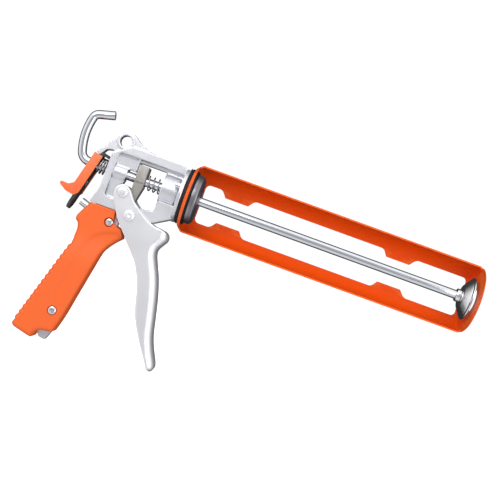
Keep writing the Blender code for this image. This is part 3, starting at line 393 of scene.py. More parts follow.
def sintered_steel():
    look = Finish("sintered_steel", (0.37, 0.35, 0.32), 0.55, 0.55)
    grain = look.effect(GRAIN, grain_per_metre=3500.0, patches_per_metre=160.0)
    wear_and_shade = look.effect(WEAR_AND_SHADE, amount=0.8)
    look.tint(look.scale(grain["Patches"], 0.0, 0.45), (0.30, 0.28, 0.26))
    look.tint(wear_and_shade["Rubbed"], (0.52, 0.50, 0.47))
    look.rough(grain["Patches"], 0.48, 0.62)
    look.bump(grain["Height"], 0.06, 0.5)
    return look.made


def washer_rubber():
    look = Finish("washer_rubber", (0.010, 0.010, 0.011), 0.55, 0.0, specular_ior_level=0.35)
    grain = look.effect(GRAIN, grain_per_metre=2000.0, patches_per_metre=120.0)
    look.tint(look.scale(grain["Patches"], 0.0, 0.6), (0.018, 0.018, 0.019))
    look.rough(grain["Patches"], 0.48, 0.65)
    look.bump(grain["Height"], 0.03, 0.4)
    return look.made


def blackened_steel():
    look = Finish("blackened_steel", (0.012, 0.013, 0.015), 0.45, 0.0, specular_ior_level=0.35)
    grain = look.effect(GRAIN, grain_per_metre=1800.0, patches_per_metre=90.0)
    wear_and_shade = look.effect(WEAR_AND_SHADE, amount=0.7)
    look.tint(wear_and_shade["Rubbed"], (0.10, 0.105, 0.11))
    look.rough(grain["Patches"], 0.38, 0.52)
    look.bump(grain["Height"], 0.03, 0.4)
    return look.made


def spring_wire():
    look = Finish("spring_wire", (0.52, 0.52, 0.54), 0.20, 1.0)
    drawn = look.effect(DRAWING, lines_per_metre=3500.0)
    look.tint(look.scale(drawn["Clouds"], 0.0, 0.6), (0.30, 0.30, 0.32))
    look.rough(drawn["Clouds"], 0.16, 0.28)
    return look.made


FINISHES = {
    "cast_aluminium": cast_aluminium(),
    "trigger_aluminium": trigger_aluminium(),
    "orange_plastic": orange_plastic(),
    "orange_paint": cradle_paint(),
    "lever_paint": lever_paint(),
    "chrome": bright_chrome(),
    "zinc": zinc_plate(),
    "turned_steel": turned_steel(),
    "sintered_steel": sintered_steel(),
    "black_rubber": washer_rubber(),
    "black_steel": blackened_steel(),
    "spring_steel": spring_wire(),
}


# Lines and outlines in the X-Z plane

def smooth_line(points, closed=False, steps=6):
    """A smooth line through given points (Catmull-Rom)."""
    count = len(points)
    places = [Vector(point) for point in points]
    line = []
    for i in range(count if closed else count - 1):
        if closed:
            before, start, end, after = (places[(i + k) % count] for k in (-1, 0, 1, 2))
        else:
            start, end = places[i], places[i + 1]
            before = places[i - 1] if i else start * 2 - end
            after = places[i + 2] if i + 2 < count else end * 2 - start
        for step in range(steps):
            t = step / steps
            line.append(0.5 * (2 * start + (end - before) * t + (2 * before - 5 * start + 4 * end - after) * t * t
                               + (3 * start - before - 3 * end + after) * t ** 3))
    if not closed:
        line.append(places[-1])
    return line


def rounded(corners, steps=6):
    """Points of a closed outline from corners (x, z, radius); each radius becomes an arc."""
    points = []
    for i, corner in enumerate(corners):
        here = Vector(corner[:2])
        radius = corner[2] if len(corner) > 2 else 0.0
        to_last = Vector(corners[i - 1][:2]) - here
        to_next = Vector(corners[(i + 1) % len(corners)][:2]) - here
        half = to_last.angle(to_next) / 2
        radius = min(radius, 0.49 * min(to_last.length, to_next.length) * math.tan(half))
        if radius <= 0 or half > math.radians(89):
            points.append(here)
            continue
        to_last.normalize()
        to_next.normalize()
        middle = here + (to_last + to_next).normalized() * radius / math.sin(half)
        first = here + to_last * radius / math.tan(half) - middle
        sweep = first.angle_signed(here + to_next * radius / math.tan(half) - middle)
        for step in range(steps + 1):
            points.append(middle + Matrix.Rotation(-sweep * step / steps, 2) @ first)
    return points


def reach_to_line(places, line):
    """Distance of each (x, z) place from a line, and on which side of it the place lies."""
    best = np.full(len(places), 1e9)
    side = np.zeros(len(places))
    for start, end in zip(line[:-1], line[1:]):
        a, b = np.array(start), np.array(end)
        along = b - a
        t = np.clip(((places - a) @ along) / (along @ along), 0, 1)
        away = places - (a + t[:, None] * along)
        distance = np.hypot(away[:, 0], away[:, 1])
        cross = along[0] * away[:, 1] - along[1] * away[:, 0]
        nearer = distance < best
        best[nearer] = distance[nearer]
        side[nearer] = np.sign(cross[nearer])
    return best, side


# Simple solids that the pieces are made from

def new_object(name, work):
    mesh = bpy.data.meshes.new(name)
    work.to_mesh(mesh)
    work.free()
    made = bpy.data.objects.new(name, mesh)
    bpy.context.scene.collection.objects.link(made)
    return made


def plate(name, points, y_from, y_to):
    """An X-Z outline made thick between two places along Y."""
    work = bmesh.new()
    face = work.faces.new([work.verts.new((point[0], y_from, point[1])) for point in points])
    grown = bmesh.ops.extrude_face_region(work, geom=[face])
    moved = [part for part in grown["geom"] if isinstance(part, bmesh.types.BMVert)]
    bmesh.ops.translate(work, verts=moved, vec=(0, y_to - y_from, 0))
    bmesh.ops.recalc_face_normals(work, faces=work.faces)
    return new_object(name, work)


def bar(name, radius, start, end, sides=64, end_radius=None):
    start, end = Vector(start), Vector(end)
    work = bmesh.new()
    bmesh.ops.create_cone(work, cap_ends=True, segments=sides, radius1=radius,
                          radius2=radius if end_radius is None else end_radius, depth=(end - start).length)
    turn = (end - start).to_track_quat("Z", "Y").to_matrix().to_4x4()
    work.transform(Matrix.Translation((start + end) / 2) @ turn)
    return new_object(name, work)


def drum(name, radius, x_from, x_to, sides=64, end_radius=None):
    return bar(name, radius, (x_from, 0, 0), (x_to, 0, 0), sides, end_radius)


def pin(name, radius, at, y_from, y_to, sides=48):
    return bar(name, radius, (at[0], y_from, at[1]), (at[0], y_to, at[1]), sides)


def block(name, low, high):
    low, high = Vector(low), Vector(high)
    work = bmesh.new()
    bmesh.ops.create_cube(work, size=1)
    work.transform(Matrix.Translation((low + high) / 2) @ Matrix.Diagonal((*(high - low), 1)))
    return new_object(name, work)


def lathe(name, profile, sides=96, axis="X", closed=True):
    """A profile of (place along the axis, radius) turned round X or Y; it may start and end on the axis."""
    work = bmesh.new()
    if axis == "X":
        corners = [work.verts.new((along, 0, radius)) for along, radius in profile]
    else:
        corners = [work.verts.new((radius, along, 0)) for along, radius in profile]
    edges = [work.edges.new(pair) for pair in zip(corners, corners[1:] + corners[:1])][:None if closed else -1]
    bmesh.ops.spin(work, geom=corners + edges, cent=(0, 0, 0), axis=(1, 0, 0) if axis == "X" else (0, 1, 0),
                   angle=2 * math.pi, steps=sides, use_merge=True, use_duplicate=False)
    bmesh.ops.remove_doubles(work, verts=work.verts, dist=0.0005)
    bmesh.ops.recalc_face_normals(work, faces=work.faces)
    return new_object(name, work)


def tube(name, route, radius, sides=24):
    """A round wire or rod along a route of points, with flat ends."""
    work = bmesh.new()
    rings = []
    places = [Vector(point) for point in route]
    up = Vector((0, 1, 0))
    for i, here in enumerate(places):
        ahead = (places[min(i + 1, len(places) - 1)] - places[max(i - 1, 0)]).normalized()
        up = (up - ahead * up.dot(ahead)).normalized()
        across = ahead.cross(up)
        rings.append([
            work.verts.new(here + radius * (math.cos(angle) * up + math.sin(angle) * across))
            for angle in (2 * math.pi * k / sides for k in range(sides))])
    for last, following in zip(rings, rings[1:]):
        for k in range(sides):
            work.faces.new((last[k], last[(k + 1) % sides], following[(k + 1) % sides], following[k]))
    work.faces.new(rings[0])
    work.faces.new(list(reversed(rings[-1])))
    bmesh.ops.recalc_face_normals(work, faces=work.faces)
    return new_object(name, work)


# Joining, cutting and softening

def bake_shape(obj):
    """Keeps the mesh that the modifiers make."""
    bpy.context.view_layer.update()
    evaluated = obj.evaluated_get(bpy.context.evaluated_depsgraph_get())
    mesh = bpy.data.meshes.new_from_object(evaluated)
    obj.modifiers.clear()
    obj.data = mesh
    return obj


def carve(obj, tools, operation="DIFFERENCE"):
    for tool in tools:
        step = obj.modifiers.new(tool.name, "BOOLEAN")
        step.operation = operation
        step.solver = "EXACT"
        step.object = tool
        bake_shape(obj)
        bpy.data.objects.remove(tool, do_unlink=True)
    return obj


def unite(obj, *others):
    return carve(obj, others, "UNION")


def soft_edges(obj, width, segments=2, angle=35.0):
    step = obj.modifiers.new("soft_edges", "BEVEL")
    step.width = width
    step.segments = segments
    step.limit_method = "ANGLE"
    step.angle_limit = math.radians(angle)
    step.use_clamp_overlap = True
    return bake_shape(obj)


def as_cast(obj, voxel, rounds):
    """Gives a carved solid the rounded edges and fillets that a mould leaves."""
    remesh = obj.modifiers.new("skin", "REMESH")
    remesh.mode = "VOXEL"
    remesh.voxel_size = voxel
    smooth = obj.modifiers.new("round", "SMOOTH")
    smooth.factor = 0.5
    smooth.iterations = rounds
    return bake_shape(obj)


def corners_of(obj):
    places = np.empty(len(obj.data.vertices) * 3)
    obj.data.vertices.foreach_get("co", places)
    return places.reshape(-1, 3)


def put_corners(obj, places):
    obj.data.vertices.foreach_set("co", places.ravel())
    obj.data.update()
    return obj


def crowned(obj, line, half, radius):
    """Rounds a piece's sides towards an edge line, as a ball cutter of that radius would."""
    places = corners_of(obj)
    distance, _ = reach_to_line(places[:, [0, 2]], line)
    inside = np.clip(1 - distance / radius, 0, 1)
    drop = radius * (1 - np.sqrt(np.clip(1 - inside ** 2, 0, 1)))
    places[:, 1] *= 1 - np.minimum(drop, 0.9 * half) / half
    return put_corners(obj, places)


SHOWN = []


def show(obj, body, finish, replaced=(), angle=40.0):
    """Moves a finished shape into the frame, shades it and ties it to its body and CAD nodes."""
    obj.data.transform(TO_FRAME)
    obj.data.materials.clear()
    obj.data.materials.append(FINISHES[finish])
    obj.data.shade_smooth()
    obj.data.set_sharp_from_angle(angle=math.radians(angle))
    SHOWN.append((obj, body, finish, replaced))
    return obj


# Casting

def body_shape():
    return rounded([
        (-4.0, 21.6), (-52.0, 21.6, 4), (-65.6, 12.5, 3), (-65.6, -17.0, 12), (-69.6, -28.6, 0.5),
        (-47.4, -28.6, 1.5), (-45.6, -34.0, 2), (-38.5, -37.4, 6), (-30.0, -36.4, 7),
        (-26.5, -30.0, 5), (-18.3, -28.3, 5), (-4.0, -19.6),
    ])


def lug_shape():
    return rounded([
        (-26.0, 20.6), (-31.0, 21.7, 30), (-39.5, 22.9, 40), (-47.3, 26.2, 20), (-53.2, 30.6, 6),
        (-58.2, 32.6, 6), (-62.6, 30.2, 5), (-66.0, 25.5, 8), (-71.6, 18.2, 0.8), (-70.9, 17.4, 0.4),
        (-77.9, 9.8, 0.8), (-74.9, 7.2, 0.8), (-70.9, 13.4, 1.2), (-66.2, 14.6, 0.6), (-62.0, 11.0),
        (-62.0, 4.0), (-50.0, 4.0),
    ])


def tang_shape():
    return rounded([
        (-64.5, -26.0), (-42.0, -26.0), (-44.0, -45.0, 6), (-51.4, -67.2, 30),
        (-61.6, -129.0, 20), (-66.3, -141.0, 1.5), (-72.3, -139.8, 1.5), (-79.2, -123.0, 10),
        (-66.0, -61.2, 20), (-65.0, -46.2, 10),
    ])


def pocket_shape():
    """Recess in the body's sides, down to its web."""
    return rounded([
        (-60.5, 14.8, 3.2), (-7.0, 14.8, 1.5), (-7.0, -10.5, 1.5), (-20.0, -10.5, 1),
        (-21.0, -19.4, 1.5), (-31.0, -21.0, 2), (-60.5, -20.4, 2.5),
    ])


def window_shape():
    """Opening right through, where drive block, roller and spring work."""
    return rounded([
        (-43.4, 12.2), (-20.5, 12.2, 1), (-20.5, -19.4, 1.5), (-31.0, -21.0, 2), (-51.7, -20.4, 1),
        (-51.7, -7.8, 0.5), (-50.3, -7.8), (-50.3, 4.6), (-43.4, 4.6),
    ])


def make_casting():
    """Flange, nose, rod bosses, web, eye, lug and handle tang, cast in one."""
    body = plate("casting", body_shape(), -BODY_HALF, BODY_HALF)
    for side in (-1, 1):
        far, near = sorted((side * WEB_HALF, side * (BODY_HALF + 1)))
        carve(body, [plate("pocket", pocket_shape(), far, near)])
    unite(body, plate("lug", lug_shape(), -WEB_HALF, WEB_HALF),
          pin("eye_rim", 6.4, EYE, -5.0, 5.0), plate("tang", tang_shape(), -3.0, 3.0))
    carve(body, [plate("window", window_shape(), -10, 10)])
    unite(body, block("abutment", (-44.7, -7.5, 5.0), (-42.9, 7.5, 15.2)),
          drum("rear_boss", 6.6, -60.9, -49.8), drum("front_boss", 12.0, -21.0, -9.0),
          drum("boss_shoulder", 12.0, -9.0, -8.2, 64, 11.2), drum("neck", 10.0, -8.6, FLANGE_FRONT - 2.7),
          drum("flange", FLANGE_R, FLANGE_FRONT - 3.1, FLANGE_FRONT - 0.5, 128),
          drum("flange_lip", FLANGE_R, FLANGE_FRONT - 0.5, FLANGE_FRONT, 128, FLANGE_R - 0.5),
          drum("nose", NOSE_R, FLANGE_FRONT - 0.4, node_span("retaining_nut", 0)[1] - 1.6))
    carve(body, [drum("rod_bore", ROD_BORE_R, -72, 10), pin("eye_hole", 4.6, EYE, -9, 9),
                 pin("pivot_bore", PIN_BORE_R, PIVOT, -10, 10),
                 pin("screw_hole_upper", SCREW_WAY_R, SCREW_UPPER, -9, 9),
                 pin("screw_hole_lower", SCREW_WAY_R, SCREW_LOWER, -9, 9)])
    as_cast(body, 0.5, 3)
    return show(body, "frame", "cast_aluminium", ["frame_casting"])


# Cradle

def cradle_section():
    """Section of the full-round shell, from the nose hole out, along the outside and back inside."""
    outer, inner = CRADLE_R, CRADLE_R - SHEET
    back, end, bend = CRADLE_BACK, CRADLE_FRONT, FRONT_BEND
    start = back + 5.2
    run = end - bend - start
    line = [(back, NOSE_HOLE_R), (back, 22.3), (back + 0.3, 23.2), (back + 3.5, 26.6), (back + 4.5, 27.2)]
    line += [(start + run * k / 40, outer) for k in range(41)]
    for k in range(1, 9):
        angle = math.radians(90 * k / 8)
        line.append((end - bend + bend * math.sin(angle), outer - bend + bend * math.cos(angle)))
    line += [(end, 9.0), (end - SHEET, 9.0)]
    fillet = bend - SHEET
    for k in range(8):
        angle = math.radians(90 - 90 * k / 8)
        line.append((end - bend + fillet * math.sin(angle), outer - bend + fillet * math.cos(angle)))
    line += [(start + run * k / 40, inner) for k in range(39, -1, -1)]
    line += [(back + 4.4, 25.8), (back + 1.6, 22.9), (back + SHEET, 22.2), (back + SHEET, NOSE_HOLE_R)]
    return line


def window_in_wall():
    """Long opening in the back wall, with the tabs that narrow it."""
    narrow, tip, foot = WINDOW_HALF - TAB_REACH, TAB_HALF + 1.0, TAB_HALF + TAB_ROOT
    upper = [(CRADLE_BACK + 10.0, WINDOW_HALF, 4)]
    for centre in (CRADLE_BACK + 37.0, CRADLE_FRONT - 62.0):
        upper += [(centre - foot, WINDOW_HALF, 5), (centre - tip, narrow, 1),
                  (centre + tip, narrow, 1), (centre + foot, WINDOW_HALF, 5)]
    upper.append((CRADLE_FRONT - 5.0, WINDOW_HALF, 4))
    return rounded(upper + [(x, -z, radius) for x, z, radius in reversed(upper)])


def make_cradle():
    """The half tube between its two plates; reflections leave it out."""
    cradle = lathe("cradle_sheet", cradle_section(), 192)
    carve(cradle, [block("near_half", (CRADLE_BACK + 2.6, -30, -30), (CRADLE_FRONT - 1.6, 0, 30)),
                   plate("back_window", window_in_wall(), 13, 30)])
    soft_edges(cradle, 0.35, 2, 50)
    cradle.visible_glossy = False
    return show(cradle, "cradle", "orange_paint", ["cradle"], 35)


def make_washer(name, node, radius):
    back, front = node_span(node, 0)
    ring = lathe(name, [(back, NOSE_HOLE_R), (back, radius - 0.4), (back + 0.4, radius), (front - 0.4, radius),
                        (front, radius - 0.4), (front, NOSE_HOLE_R)])
    return show(ring, "frame", "black_rubber", [node])


def make_retaining_nut():
    """Turned nut with a wide rim, a chamfer and a shallow stepped face."""
    back, face = node_span("retaining_nut", 0)
    nut = lathe("turned_nut", [
        (back, NOSE_HOLE_R), (back, NUT_R - 0.3), (back + 0.3, NUT_R), (face - 1.9, NUT_R),
        (face - 1.3, NUT_R - 0.3), (face - 0.2, 17.4), (face, 16.9), (face, 14.2), (face - 0.3, 13.9),
        (face - 0.3, 8.8), (face, 8.5), (face, 4.4), (face - 1.3, 4.4), (face - 1.3, NOSE_HOLE_R)], 128)
    return show(nut, "frame", "turned_steel", ["retaining_nut"], 30)


# Grip

def tooth_line():
    """Rounded finger ridges down the grip's back."""
    start, end = Vector((-71.5, -63.9)), Vector((-91.8, -131.9))
    count, steps, height = 15, 8, 1.15
    along = (end - start) / count
    out = Vector((along.y, -along.x)).normalized() * height
    line = []
    for tooth in range(count):
        for step in range(steps):
            part = step / steps
            line.append(start + along * (tooth + part) + out * math.sin(math.pi * part) ** 0.7)
    return line


def grip_shape():
    back_top = smooth_line([(-68.4, -28.9), (-72.6, -36.9), (-75.0, -42.2), (-74.7, -45.0), (-72.4, -47.2),
                            (-71.3, -51.7), (-71.3, -58.2), (-71.5, -63.9)], steps=5)[:-1]
    heel = smooth_line([(-91.8, -131.9), (-93.0, -135.1), (-91.1, -137.7), (-83.6, -139.8)], steps=4)
    sole = [(-76.1, -141.6), (-74.5, -137.8)] + smooth_line([(-73.3, -135.6), (-70.9, -134.0), (-67.0, -133.4)])
    front = smooth_line([(-61.9, -132.4), (-58.4, -119.2), (-54.1, -96.2), (-48.4, -66.7), (-45.4, -58.8),
                         (-41.1, -52.8), (-35.9, -47.2)], steps=6)
    top = [(-39.0, -41.5), (-46.6, -38.3), (-47.9, -28.9)]
    return [Vector(point) for point in [*back_top, *tooth_line(), *heel, *sole, *front, *top]]


def edge_between(points, start, end):
    """The stretch of an outline between the points nearest to two places."""
    first = min(range(len(points)), key=lambda i: (points[i] - Vector(start)).length)
    last = min(range(len(points)), key=lambda i: (points[i] - Vector(end)).length)
    if first <= last:
        return points[first:last + 1]
    return points[first:] + points[:last + 1]


def soft_step(value, low, high):
    t = np.clip((value - low) / (high - low), 0, 1)
    return t * t * (3 - 2 * t)


def grip_half_width(z):
    """Half the grip's width: narrow at the top, between the trigger's cheeks, then full."""
    return GRIP_TOP_HALF + (GRIP_HALF - GRIP_TOP_HALF) * soft_step(-z, 50.0, 78.0)


def make_grip_half(name, side, node):
    """One half of the grip: rounded edges, a sunk front panel, and its screw seats or nut pockets."""
    outline = grip_shape()
    half = plate(name, outline, *sorted((side * GAP / 2, side * GRIP_HALF)))
    carve(half, [plate("tang_pocket", tang_shape(), *sorted((-side, side * 3.2)))])
    as_cast(half, 0.45, 2)
    places = corners_of(half)
    x, z = places[:, 0], places[:, 2]
    wide = grip_half_width(z)
    scale = wide / GRIP_HALF
    flat = places[:, [0, 2]]
    edge, _ = reach_to_line(flat, edge_between(outline, (-68.4, -28.9), (-35.9, -47.2)))
    radius = 3.2
    inside = np.clip(1 - edge / radius, 0, 1)
    drop = radius * (1 - np.sqrt(1 - inside ** 2))
    step_line = smooth_line([(-31.0, -47.2), (-40.0, -45.0), (-48.1, -46.7), (-55.0, -50.6), (-60.1, -56.6),
                             (-63.5, -66.2), (-68.0, -89.2), (-72.1, -113.2), (-75.8, -135.0), (-77.0, -145.0)])
    away, where = reach_to_line(flat, step_line)
    sunk = 1.5 * soft_step(away * where, -1.8, 2.2)
    outer = soft_step(np.abs(places[:, 1]), 3.6, 6.0)
    places[:, 1] = places[:, 1] * scale * (1 - drop / wide) - side * sunk * outer
    put_corners(half, places)
    holes = []
    for at in (SCREW_UPPER, SCREW_LOWER):
        face = grip_half_width(at[1])
        if side < 0:
            holes.append(pin("counterbore", 3.7, at, -face - 2, -face + SEAT_DEPTH))
        else:
            holes.append(bar("nut_pocket", 4.05, (at[0], face - 3.6, at[1]), (at[0], face + 2, at[1]), 6))
        holes.append(pin("screw_way", SCREW_WAY_R, at, *sorted((-side, side * face))))
    carve(half, holes)
    return show(half, "frame", "orange_plastic", [node])


def make_grip_screw(name, at, node):
    """Pan-head screw with a cross recess."""
    seat = -(grip_half_width(at[1]) - SEAT_DEPTH) - GAP
    turned = Matrix.Translation((at[0], 0, at[1])) @ Matrix.Rotation(math.radians(28), 4, "Y")
    head = lathe(name, [(seat - 1.6, 0), (seat - 1.55, 1.6), (seat - 1.3, 2.6), (seat - 0.9, 3.15),
                        (seat - 0.4, 3.3), (seat, 3.3), (seat, 1.8), (seat + 12, 1.8), (seat + 12, 0)],
                 64, "Y", False)
    head.data.transform(turned)
    arms = []
    for wide, tall in ((1.75, 0.42), (0.42, 1.75)):
        arm = block("cross_arm", (-wide, seat - 2.5, -tall), (wide, seat - 0.65, tall))
        arm.data.transform(turned)
        arms.append(arm)
    carve(head, arms)
    soft_edges(head, 0.12, 2, 50)
    return show(head, "frame", "chrome", [node])


# Trigger group

def trigger_shape():
    return smooth_line([
        (-53.8, -16.6), (-51.7, -21.5), (-48.6, -27.0), (-44.9, -33.0), (-40.2, -38.8), (-30.2, -49.4),
        (-22.2, -58.4), (-16.0, -68.8), (-11.2, -81.8), (-8.1, -93.3), (-4.0, -103.6), (3.6, -116.6),
        (12.6, -129.8), (15.2, -134.0), (18.3, -136.0), (20.5, -133.3), (19.9, -129.2), (15.2, -119.6),
        (11.4, -109.9), (8.4, -97.3), (4.5, -81.1), (0.0, -67.0), (-4.6, -56.9), (-7.2, -50.8),
        (-7.6, -46.2), (-5.0, -41.4), (-3.0, -37.8), (-3.2, -34.2), (-6.4, -31.2), (-11.0, -30.2),
        (-16.9, -29.3), (-23.9, -26.1), (-30.7, -21.2), (-36.2, -17.2), (-40.2, -12.2), (-43.4, -8.9),
        (-47.4, -7.4), (-51.4, -9.0), (-53.7, -12.4),
    ], closed=True, steps=6)


def trigger_hollow():
    """What is taken out between the cheeks: all but the finger wall and the tip."""
    front = smooth_line([(-8.0, -33.8), (-6.8, -38.6), (-10.6, -44.6), (-11.0, -51.4), (-7.9, -58.0),
                         (-3.4, -68.0), (1.0, -81.8), (5.0, -98.0), (8.0, -110.0), (12.4, -119.6)])
    return [Vector(point) for point in [(-70, 5), (-16, 5), (-16, -33.8), *front, (11.0, -122.0), (2.0, -122.0),
                                        (-30, -100), (-70, -60)]]


def make_trigger():
    """Hollow cast trigger: two cheeks behind a finger wall, crowned along its edges."""
    outline = trigger_shape()
    trigger = plate("trigger_casting", outline, -CHEEK_OUT, CHEEK_OUT)
    carve(trigger, [plate("trigger_inside", trigger_hollow(), -CHEEK_IN, CHEEK_IN),
                    pin("pivot_hole", PIN_BORE_R, PIVOT, -14, 14),
                    pin("drive_hole", PIN_BORE_R, DRIVE_PIN, -14, 14)])
    as_cast(trigger, 0.45, 3)
    crowned(trigger, edge_between(outline, (18.3, -136.0), (-3.2, -34.2)), CHEEK_OUT, 7.0)
    crowned(trigger, edge_between(outline, (-3.2, -34.2), (18.3, -136.0)), CHEEK_OUT, 1.3)
    return show(trigger, "trigger", "trigger_aluminium", ["trigger"])


def make_rivet(name, at, body, node, dimple):
    """Shank between two low domes; a struck rivet has a dimple."""
    seat, rise, head_r = 12.9, 2.0, 4.25
    dome = [(seat, 2.5), (seat, head_r)]
    for k in range(1, 8):
        angle = math.radians(90 * k / 8)
        dome.append((seat + rise * math.sin(angle) ** 0.8, head_r * math.cos(angle) ** 0.6))
    dome.append((seat + rise - dimple, 0.0))
    if dimple:
        dome.insert(-1, (seat + rise - 0.1, 1.3))
        dome.insert(-1, (seat + rise - dimple, 0.6))
    other = [(-along, radius) for along, radius in reversed(dome)]
    rivet = lathe(name, dome[::-1] + other[::-1], 48, "Y", False)
    rivet.data.transform(Matrix.Translation((at[0], 0, at[1])))
    return show(rivet, body, "trigger_aluminium", [node], 50)


def make_roller():
    roller = pin("roller", 4.1, DRIVE_PIN, -9, 9, 64)
    carve(roller, [pin("roller_bore", PIN_BORE_R, DRIVE_PIN, -10, 10)])
    soft_edges(roller, 0.4, 2)
    return show(roller, "trigger", "turned_steel", ["drive_roller"])


def make_drive_block():
    """Block on the rod, narrowed to a foot that the roller pushes on."""
    upper = block("drive_shoe", (-42.6, -8, -2), (-34.6, 8, 11))
    foot = plate("foot", rounded([(-42.6, -1), (-34.6, -1), (-34.6, -5), (-37.2, -17.4, 1), (-42.6, -17.4, 1)]),
                 -6.5, 6.5)
    unite(upper, foot)
    carve(upper, [drum("block_bore", ROD_BORE_R, -44, -33)])
    soft_edges(upper, 0.5, 3, 60)
    return show(upper, "drive", "sintered_steel", ["drive_block"])


# Rod and piston

def hook_route():
    """Centre line of the rod: straight, then through the three bends of the hook."""
    x, z, heading = HOOK_START, 0.0, math.pi
    shoulder = DISH_BACK - 0.5
    route = [(shoulder - 0.01 + (x - shoulder) * k / 24, 0, 0) for k in range(25)]
    steps = 14
    for radius, turn in HOOK_BENDS:
        for _ in range(steps):
            after = heading - math.radians(turn) / steps
            x += radius * (math.sin(heading) - math.sin(after))
            z += radius * (math.cos(after) - math.cos(heading))
            heading = after
            route.append((x, 0, z))
    route.append((x + HOOK_TIP * math.cos(heading), 0, z + HOOK_TIP * math.sin(heading)))
    return route


def make_rod():
    rod = tube("rod_and_hook", hook_route(), ROD_R, 48)
    unite(rod, drum("rod_stud", 2.5, DISH_BACK - 1.5, DISH_BACK + 4.3, 32))
    soft_edges(rod, 0.3, 2, 50)
    return show(rod, "rod", "chrome", ["push_rod"])


def make_dish():
    """Pressed steel dish with a rolled lip."""
    back, lip = DISH_BACK, DISH_FACE
    profile = [(back, 2.8), (back, 8.8), (back + 0.3, 9.6), (back + 0.9, 10.3), (lip - 2.6, 14.9),
               (lip - 2.2, 15.2), (lip - 1.9, 15.4), (lip - 1.7, 16.2), (lip - 1.3, 16.8), (lip - 0.6, 17.0),
               (lip - 0.15, 16.7), (lip, 16.2), (lip, 15.2), (lip - 0.6, 14.7), (back + 1.9, 9.6),
               (back + 1.3, 8.6), (back + 1.3, 2.8)]
    return show(lathe("pressed_dish", profile, 128), "piston", "zinc", ["piston_dish"], 30)


def make_hub():
    back = DISH_BACK - GAP
    hub = lathe("dish_hub", [(back, ROD_BORE_R), (back, 5.2), (back - 2.9, 5.2), (back - 3.3, 5.0),
                             (back - 3.5, 4.6), (back - 3.5, ROD_BORE_R)], 64)
    return show(hub, "piston", "zinc", ["piston_hub"], 30)


# Release lever, drawn upright with its hinge at the origin, then tilted

def lever_place(obj):
    obj.data.transform(Matrix.Translation((HINGE[0], 0, HINGE[1])) @ Matrix.Rotation(PLATE_TILT, 4, "Y"))
    return obj


def rod_height(x):
    """Height at which the rod's axis passes the upright lever, x in front of its hinge."""
    sine, cosine = math.sin(PLATE_TILT), math.cos(PLATE_TILT)
    return (x - HINGE[1] * sine) / cosine * sine - HINGE[1] * cosine


def make_release_plate():
    """Steel plate that holds the rod, with a tongue on top that hangs in the casting's hook."""
    back, front, foot = -5.2, PLATE_FACE, -43
    outline = rounded([(front, foot), (front, -1.2, 0.6), (1.0, -1.2, 0.3), (1.0, 1.2, 0.3),
                       (back, 1.2, 2.4), (back, foot)])
    sheet = plate("plate_and_tongue", outline, -7, 7)
    unite(sheet, bar("plate_end", 7.0, (back, 0, foot), (front, 0, foot), 64))
    height = rod_height((back + front) / 2)
    carve(sheet, [block("shoulder_near", (-7, -8, -4.4), (3, -4, 3)),
                  block("shoulder_far", (-7, 4, -4.4), (3, 8, 3)),
                  bar("plate_hole", 4.75, (-7, 0, height), (0, 0, height))])
    soft_edges(sheet, 0.5, 3, 50)
    lever_place(sheet)
    return show(sheet, "release", "black_steel", ["release_plate"])


def make_thumb_lever():
    """Pressed channel behind the plate with a thumb tab at its lower end."""
    outline = rounded([
        (-2.2, -2.2), (-2.2, -35.5, 1), (-4.5, -39.1, 2), (-11.5, -39.5, 5), (-18.4, -37.1, 0.8),
        (-18.1, -34.9, 0.6), (-12.7, -34.1, 3), (-9.2, -30.5, 2), (-9.2, -2.2)])
    lever = plate("thumb_channel", outline, -9, 9)
    carve(lever, [block("channel", (-7.7, -7.5, -33.5), (1, 7.5, 2)),
                  block("plate_way", (-5.5, -7.5, -43.5), (1, 7.5, 0)),
                  block("head_room", (-10.2, -5.5, -4.6), (-1.2, 5.5, 1))])
    unite(lever, bar("post", 3.4, (-8.7, 0, -26), (-5.5, 0, -26)))
    height = rod_height(-8.45)
    carve(lever, [bar("rod_way", 5.1, (-12.2, 0, height), (-6.7, 0, height)),
                  bar("rivet_way", 1.8, (-12.2, 0, -26), (1, 0, -26))])
    soft_edges(lever, 0.45, 3, 50)
    lever_place(lever)
    return show(lever, "release", "lever_paint", ["thumb_lever"])


# Springs

def plate_front(z):
    """Where the release plate's front face is at a height above the rod's axis."""
    return HINGE[0] + (PLATE_FACE + (z - HINGE[1]) * math.sin(PLATE_TILT)) / math.cos(PLATE_TILT)


def make_coil(name, node, wire, radius, start, end_at):
    """Spring round the rod, from one place to another that may change with height."""
    route = []
    count = COIL_TURNS * COIL_STEPS
    for k in range(count + 1):
        part = k / count
        angle = 2 * math.pi * COIL_TURNS * part
        y, z = radius * math.cos(angle), radius * math.sin(angle)
        route.append((start + (end_at(z) - start) * part, y, z))
    return show(tube(name, route, wire, 14), "frame", "spring_steel", [node])


def make_return_spring():
    wire = 0.55
    end = FRONT_BOSS_BACK - wire
    return make_coil("return_coil", "return_spring", wire, 5.45, FRONT_BOSS_BACK - DRIVE_ROOM + wire, lambda z: end)


def make_release_spring():
    wire = 0.6
    room = GAP + wire
    return make_coil("release_coil", "release_spring", wire, 5.9, -65.6 - room,
                     lambda z: plate_front(z) + room / math.cos(PLATE_TILT))


# Floor, light and camera

